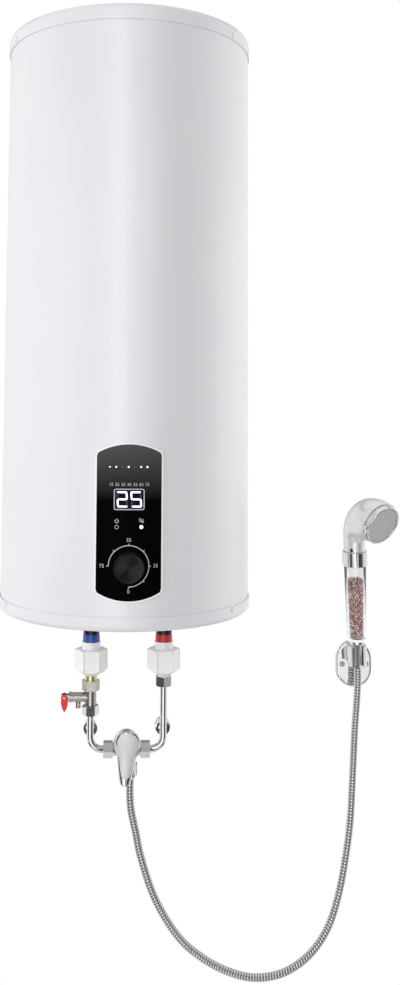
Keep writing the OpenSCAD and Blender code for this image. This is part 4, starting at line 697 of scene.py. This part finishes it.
# The ribs are turned on a straight tube, which is then bent along the line.
pitch = hose_length / MM / hose_ribs
rib_top, rib_side, rib_foot = hose_d / 2 - 0.05, hose_d / 2 - 0.4, hose_d / 2 - 1
outline = [(0, 0), (rib_foot, 0)]
for rib in range(hose_ribs):
    z = rib * pitch
    outline += [(rib_side, z + 0.14 * pitch), (rib_top, z + 0.36 * pitch), (rib_top, z + 0.64 * pitch),
                (rib_side, z + 0.86 * pitch), (rib_foot, z + pitch)]
outline.append((0, hose_length / MM))
bm = turned(outline, 16)
gap = bm.verts.layers.float.new("gap")
at = 0
for vert in sorted(bm.verts, key=lambda v: v.co.z):
    # A point's depth below the crest sets how much painted shade it takes.
    vert[gap] = min(1, max(0, rib_top - vert.co.xy.length / MM))
    s = min(max(vert.co.z, 0), hose_length)
    while at < len(hose_run) - 2 and hose_run[at + 1] < s:
        at += 1
    t = (s - hose_run[at]) / (hose_run[at + 1] - hose_run[at])
    middle = hose_line[at].lerp(hose_line[at + 1], t)
    side = hose_frames[at][0].lerp(hose_frames[at + 1][0], t).normalized()
    other = hose_frames[at][1].lerp(hose_frames[at + 1][1], t).normalized()
    vert.co = middle + side * vert.co.x + other * vert.co.y
bmesh.ops.recalc_face_normals(bm, faces=bm.faces)
hose = piece("ribbed_hose", bm, hose_steel, None, sharp=50)
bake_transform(hose)
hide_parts("shower_hose")
dress(hose_steel, "shower_hose")

# Handle: a clear acrylic tube with a thick floor, moulded and polished, that screws to the cone
# below and to the collar above. A low index keeps its wall pale; the coat gives it its gloss.
shower_at, lean_left, lean_out = (0.366, -0.029, -0.752), math.radians(-2.5), math.radians(6)
shower_place = (Matrix.Translation(shower_at) @ Matrix.Rotation(lean_left, 4, "Y")
                @ Matrix.Rotation(lean_out, 4, "X"))
clear = material("clear_acrylic", "#f4f6f7", "#eff1f2", 20, IOR=1.2, Transmission_Weight=1.0,
                 Coat_Weight=1.0, Coat_Roughness=0.03)
tree, shader, place = opened(clear)
# Fine mould marks leave the surface a little uneven, every 7 mm or so.
haze = node(tree, "ShaderNodeTexNoise", {"Vector": place, "Scale": 0.15 / MM, "Detail": 2})
gloss = node(tree, "ShaderNodeMapRange", {"Value": haze.outputs[0], "To Min": 0.01, "To Max": 0.05})
tree.links.new(gloss.outputs[0], shader.inputs["Roughness"])
bm = turned([(0, 43.1), (13.6, 43.1), (14.2, 43.7), (17, 159.4), (16.6, 159.9), (15, 159.9), (14.6, 159.4),
             (11.8, 47.5), (11.3, 47), (0, 47)], 96)
bmesh.ops.transform(bm, matrix=shower_place, verts=bm.verts)
handle = piece("clear_handle", bm, clear, "hand_shower")
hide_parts("shower_handle")
dress(clear, "shower_handle")

# Mineral balls: fired clay and tourmaline beads of about 4 mm, poured into the clear handle, where
# they filter the water. Every bead has its own shade between cream pink and brown.
clay = material("fired_mineral", "#c4897a", "#a5604f", 4, Roughness=0.35)
tree, shader, place = opened(clay)
shade = node(tree, "ShaderNodeAttribute", attribute_name="shade")
fired = node(tree, "ShaderNodeMix", {"Factor": shade.outputs["Fac"], "A": linear("#96504a"),
                                     "B": linear("#f6d6cb")}, data_type="RGBA")
tree.links.new(fired.outputs["Result"], shader.inputs["Base Color"])
bead_floor, layers, layer_rise, bead_gap = 47, 24, 3.7, 4.3
random.seed(7)
bm = bmesh.new()
bm.verts.layers.float.new("shade")
for layer in range(layers):
    z = bead_floor + 2.6 + layer_rise * layer
    # The beads fill the bore, which widens upwards from the handle's floor.
    reach = 10.4 + 2.9 * (z - bead_floor) / 90
    for radius in (reach - 2.2, reach - 6.2):
        count = int(2 * math.pi * radius / bead_gap)
        for i in range(count):
            a = 2 * math.pi * (i + 0.5 * (layer % 2)) / count + random.uniform(-0.05, 0.05)
            spot = Vector((radius * math.cos(a), radius * math.sin(a), z + random.uniform(-0.4, 0.4))) * MM
            bead = bmesh.new()
            bmesh.ops.create_uvsphere(bead, u_segments=8, v_segments=6, radius=random.uniform(1.95, 2.2) * MM)
            tone = bead.verts.layers.float.new("shade")
            own = random.random()
            for vert in bead.verts:
                vert[tone] = own
            add(bm, bead, shower_place @ Matrix.Translation(spot))
beads = piece("mineral_beads", bm, clay, "hand_shower", sharp=180)
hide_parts("mineral_balls")
dress(clay, "mineral_balls")

# Handle collar: a ring of turned brass, chromed like the pipes, that screws the head to the handle.
# It is plain, with eased edges.
bm = turned([(15.2, 160.1), (18.3, 160.1), (18.8, 160.6), (18.8, 181.9), (18.3, 182.4), (15.2, 182.4),
             (15.2, 160.1)], 96)
bmesh.ops.transform(bm, matrix=shower_place, verts=bm.verts)
collar = piece("chrome_collar", bm, chrome, "hand_shower")
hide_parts("handle_collar")

# Shower head: two halves of ABS in pearl lacquer, welded along the rim. The neck rises straight
# from the collar, bends forward and swells to the rim, with a socket for the spray plate's stem.
pearl = material("pearl_lacquer", "#f4f5f6", "#e9eaec", 18, Metallic=0.5, Roughness=0.3)
tree, shader, place = opened(pearl)
# The lacquer's flakes are about 0.7 mm across.
flake = node(tree, "ShaderNodeTexNoise", {"Vector": place, "Scale": 1.4 / MM, "Detail": 2})
bump = node(tree, "ShaderNodeBump", {"Height": flake.outputs[0], "Strength": 0.03, "Distance": 0.2 * MM})
tree.links.new(bump.outputs[0], shader.inputs["Normal"])
head_turn = math.radians(29)
head_place = shower_place @ Matrix.Rotation(head_turn, 4, "Z")
face_out, face_up, tilt = 63, 231.5, math.radians(22)
neck_r, rim_r = 16.5, 33


def curve(points, t):
    while len(points) > 1:
        points = [a.lerp(b, t) for a, b in zip(points, points[1:])]
    return points[0]


def head_ring(inner, outer, half):
    # A section between two points of the head's side view, given as forward and up.
    middle, reach = (inner + outer) / 2 * MM, (outer - inner) / 2 * MM
    return head_place @ Matrix(((half * MM, 0, 0, 0), (0, -reach.x, 0, -middle.x),
                                (0, reach.y, 1, middle.y), (0, 0, 0, 1)))


def face_ring(radius, depth):
    middle = Vector((face_out - depth * math.cos(tilt), face_up + depth * math.sin(tilt)))
    reach = Vector((math.sin(tilt), math.cos(tilt))) * radius
    return head_ring(middle - reach, middle + reach, radius)


under = [Vector(p) for p in ((neck_r, 198), (16.8, 203.6), (41.2, 204.7))]
over = [Vector(p) for p in ((-neck_r, 198), (-20, 240), (21, 284), (65.9, 265.9))]
rings = [head_ring(Vector((neck_r, z)), Vector((-neck_r, z)), neck_r) for z in (182.8, 187, 192)]
for i in range(21):
    t = i / 20
    swell = 3 * t * t - 2 * t ** 3
    rings.append(head_ring(curve(under, t), curve(over, t), neck_r + (rim_r - neck_r) * swell))
# The last rings turn in over the rim and go down into the socket.
rings += [face_ring(r, d) for r, d in ((32.9, 9.8), (32.5, 9.5), (31.8, 9.4), (29.5, 9.5), (28, 11),
                                       (4.4, 11), (4.4, 21.5))]
head = piece("head_shell", lofted(rings, 64), pearl, "hand_shower")
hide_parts("shower_head")
dress(pearl, "shower_head")

# Lock button: a small pip of black nylon on the neck that snaps into the collar when that is
# screwed up. It is moulded, and dull against the pearl.
black_nylon = material("black_nylon", "#1f1f20", "#161617", 2, Roughness=0.4)
bm = turned([(0, -1), (2.3, -1), (2.3, 0.2), (1.9, 0.7), (1.1, 0.95), (0, 1)], 28)
button_turn, button_at, button_tall = math.radians(-31), (0, -0.0164, 0.1862), 1.3
bmesh.ops.transform(bm, verts=bm.verts, matrix=shower_place @ Matrix.Rotation(button_turn, 4, "Z")
                    @ Matrix.Translation(button_at) @ Matrix.Rotation(math.pi / 2, 4, "X")
                    @ Matrix.Diagonal((1, button_tall, 1, 1)))
piece("lock_button", bm, black_nylon, "hand_shower")

# Spray ring: a chromed ring that turns the spray, with a small tab for the thumb at its left. Its
# floor runs in to the plate's stem, which carries it in the head.
face_place = (head_place @ Matrix.Translation((0, -face_out * MM, face_up * MM))
              @ Matrix.Rotation(math.pi / 2 + tilt, 4, "X"))
bm = turned([(27.5, -1.6), (27.7, -0.5), (28.3, 0), (29.6, 0), (30.4, -0.5), (30.7, -1.4), (30.7, -8.5),
             (30.3, -8.9), (6, -8.9), (6, -7.1), (27.5, -7.1), (27.5, -1.6)], 96)
tab_at, tab_size = (-0.0317, 0, -0.005), (0.004, 0.007, 0.006)
tab = bmesh.new()
bmesh.ops.create_cube(tab, size=1, matrix=Matrix.Translation(tab_at) @ Matrix.Diagonal((*tab_size, 1)))
bmesh.ops.bevel(tab, geom=tab.edges[:], offset=0.8 * MM, segments=3, profile=0.5, affect="EDGES", material=-1)
add(bm, tab, Matrix.Identity(4))
bmesh.ops.transform(bm, matrix=face_place, verts=bm.verts)
ring = piece("chrome_spray_ring", bm, chrome, "spray_dial")
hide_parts("spray_ring")

# Spray plate: grey plastic, moulded with a fine matt face and rings of small nozzles that the water
# leaves by. Its stem turns in the head's socket.
plate = material("grey_spray_plate", "#c2c3c4", "#b7b8b9", 6, Roughness=0.42)
bm = turned([(0, -21), (4, -21), (4, -7), (27.1, -7), (27.3, -6.6), (27.3, -1.5), (26.8, -1), (24, -1.3),
             (0, -1.3)], 96)
nozzle = [(0, -1.4), (0.9, -1.4), (0.7, -0.75), (0.45, -0.7), (0.35, -1), (0, -1)]
for radius, count in ((6, 6), (12, 12), (18, 20), (23, 28)):
    for i in range(count):
        a = 2 * math.pi * i / count
        spot = (radius * math.cos(a) * MM, radius * math.sin(a) * MM, 0)
        add(bm, turned(nozzle, 8), Matrix.Translation(spot))
bmesh.ops.transform(bm, matrix=face_place, verts=bm.verts)
nozzles = piece("nozzle_plate", bm, plate, "spray_dial")
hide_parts("spray_plate")
dress(plate, "spray_plate")

# Wall holder: a chromed oval plate on the wall with rounded edges, and a slotted cradle that takes
# the cone of the hand shower. Two screws hold it behind the cradle.
holder_at, holder_w, holder_h, holder_t = (0.366, 0, -0.752), 56, 71, 8
bm = rounded(holder_w, holder_h, corner=27.9, steps=20)
thicken(bm, holder_t, edge=3)
front = max(bm.faces, key=lambda f: f.calc_center_median().y)
bmesh.ops.inset_region(bm, faces=[front], thickness=0.7 * MM)
bmesh.ops.transform(bm, verts=bm.verts, matrix=Matrix.Translation(holder_at)
                    @ Matrix.Diagonal((1, -1, 1, 1)))
bmesh.ops.recalc_face_normals(bm, faces=bm.faces)
back_plate = piece("holder_oval", bm, chrome, "heater")
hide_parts("holder_plate")

# Studio: a pale floor far below, soft boxes at the left and in front, a strip behind at the right
# and a white surround. Metal sees dark flags and light walls in it, as in a product studio.
surround = bpy.data.worlds.new("surround")
surround.use_nodes = True
bpy.context.scene.world = surround
tree = surround.node_tree
tree.nodes.clear()
path = node(tree, "ShaderNodeLightPath")
seen = node(tree, "ShaderNodeMath", {0: path.outputs["Is Camera Ray"], 1: path.outputs["Transmission Depth"]},
            operation="MAXIMUM", use_clamp=True)
way = node(tree, "ShaderNodeTexCoord").outputs["Generated"]
split = node(tree, "ShaderNodeSeparateXYZ", {"Vector": way})
ahead = node(tree, "ShaderNodeMath", {0: split.outputs["Y"], 1: -1}, operation="MULTIPLY")
turn = node(tree, "ShaderNodeMath", {0: split.outputs["X"], 1: ahead.outputs[0]}, operation="ARCTAN2")
bearing = node(tree, "ShaderNodeMapRange", {"Value": turn.outputs[0], "From Min": -math.pi,
                                            "From Max": math.pi})
walls = node(tree, "ShaderNodeValToRGB", {"Fac": bearing.outputs[0]})
height = node(tree, "ShaderNodeMapRange", {"Value": split.outputs["Z"], "From Min": -1})
ends = node(tree, "ShaderNodeValToRGB", {"Fac": height.outputs[0]})
# Brightness of the walls against degrees from the front, and of the floor and the ceiling against
# height, which runs from -1 straight down to 1 straight up.
wall_levels = ((-174, 0.3), (-160, 0.95), (-100, 0.95), (-80, 0.6), (-72, 0.1), (-42, 0.1), (-32, 1),
               (-12, 1), (-10, 5), (-5, 5), (-3, 0.07), (8, 0.07), (11, 1.1), (18, 1.1), (20, 0.07),
               (56, 0.07), (70, 0.7), (100, 0.95), (160, 0.95), (174, 0.3))
end_levels = ((-0.8, 0.9), (-0.74, 0.2), (-0.6, 0.2), (-0.54, 0.9), (0.5, 0.95), (0.54, 0.2),
              (0.64, 0.2), (0.7, 0.95))
for ramp, reach, levels, outer in ((walls, 180, wall_levels, 0.3), (ends, 1, end_levels, 0.95)):
    stops = ramp.color_ramp.elements
    for at, level in levels:
        stop = stops.new((at + reach) / (2 * reach))
        stop.color = (level, level, level, 1)
    for stop in (stops[0], stops[-1]):
        stop.color = (outer, outer, outer, 1)
steep = node(tree, "ShaderNodeMath", {0: split.outputs["Z"]}, operation="ABSOLUTE")
corner = node(tree, "ShaderNodeMapRange", {"Value": steep.outputs[0], "From Min": 0.42, "From Max": 0.52})
room = node(tree, "ShaderNodeMix", {"Factor": corner.outputs[0], "A": walls.outputs[0], "B": ends.outputs[0]},
            data_type="RGBA")
mirrored = node(tree, "ShaderNodeBackground", {"Color": room.outputs["Result"], "Strength": 1.0})
even = node(tree, "ShaderNodeBackground", {"Color": (1, 1, 1, 1), "Strength": 0.6})
white = node(tree, "ShaderNodeBackground", {"Color": (1, 1, 1, 1), "Strength": 1.0})
direct = node(tree, "ShaderNodeMath", {0: path.outputs["Is Glossy Ray"], 1: path.outputs["Diffuse Depth"]},
              operation="SUBTRACT", use_clamp=True)
around = node(tree, "ShaderNodeMixShader", {0: direct.outputs[0], 1: even.outputs[0], 2: mirrored.outputs[0]})
shown = node(tree, "ShaderNodeMixShader", {0: seen.outputs[0], 1: around.outputs[0], 2: white.outputs[0]})
node(tree, "ShaderNodeOutputWorld", {"Surface": shown.outputs[0]})

aim = Vector((0, -0.185, -0.3))
for name, stand, size, power in (("left_box", (-1.9, -1.3, -0.2), 1.4, 21),
                                 ("right_strip", (1.9, 0.5, -0.2), 1.2, 15),
                                 ("front_box", (0.4, -2.5, 0.1), 1.2, 7)):
    lamp = bpy.data.lights.new(name, "AREA")
    lamp.size = size
    lamp.energy = power
    box = bpy.data.objects.new(name, lamp)
    box.location = stand
    box.rotation_euler = (aim - Vector(stand)).to_track_quat("-Z", "Y").to_euler()
    box.visible_glossy = False
    bpy.context.scene.collection.objects.link(box)

floor_z, floor_half = -1.9, 0.8
floor_paint = material("floor_paint", "#f4f4f4", "#efefef", 900, Roughness=0.8)
tree, shader, place = opened(floor_paint)
path = node(tree, "ShaderNodeLightPath")
seen = node(tree, "ShaderNodeMath", {0: path.outputs["Is Camera Ray"],
                                     1: path.outputs["Is Transmission Ray"]}, operation="MAXIMUM")
glow = node(tree, "ShaderNodeEmission", {"Color": (1, 1, 1, 1), "Strength": 1.0})
lit_floor = node(tree, "ShaderNodeMixShader", {0: seen.outputs[0], 1: shader.outputs[0], 2: glow.outputs[0]})
tree.links.new(lit_floor.outputs[0], tree.nodes["Material Output"].inputs["Surface"])
bm = bmesh.new()
bmesh.ops.create_grid(bm, x_segments=1, y_segments=1, size=floor_half)
bmesh.ops.translate(bm, vec=(0, 0, floor_z), verts=bm.verts)
floor = piece("floor", bm, floor_paint, None)

bpy.context.scene.view_settings.view_transform = "Standard"
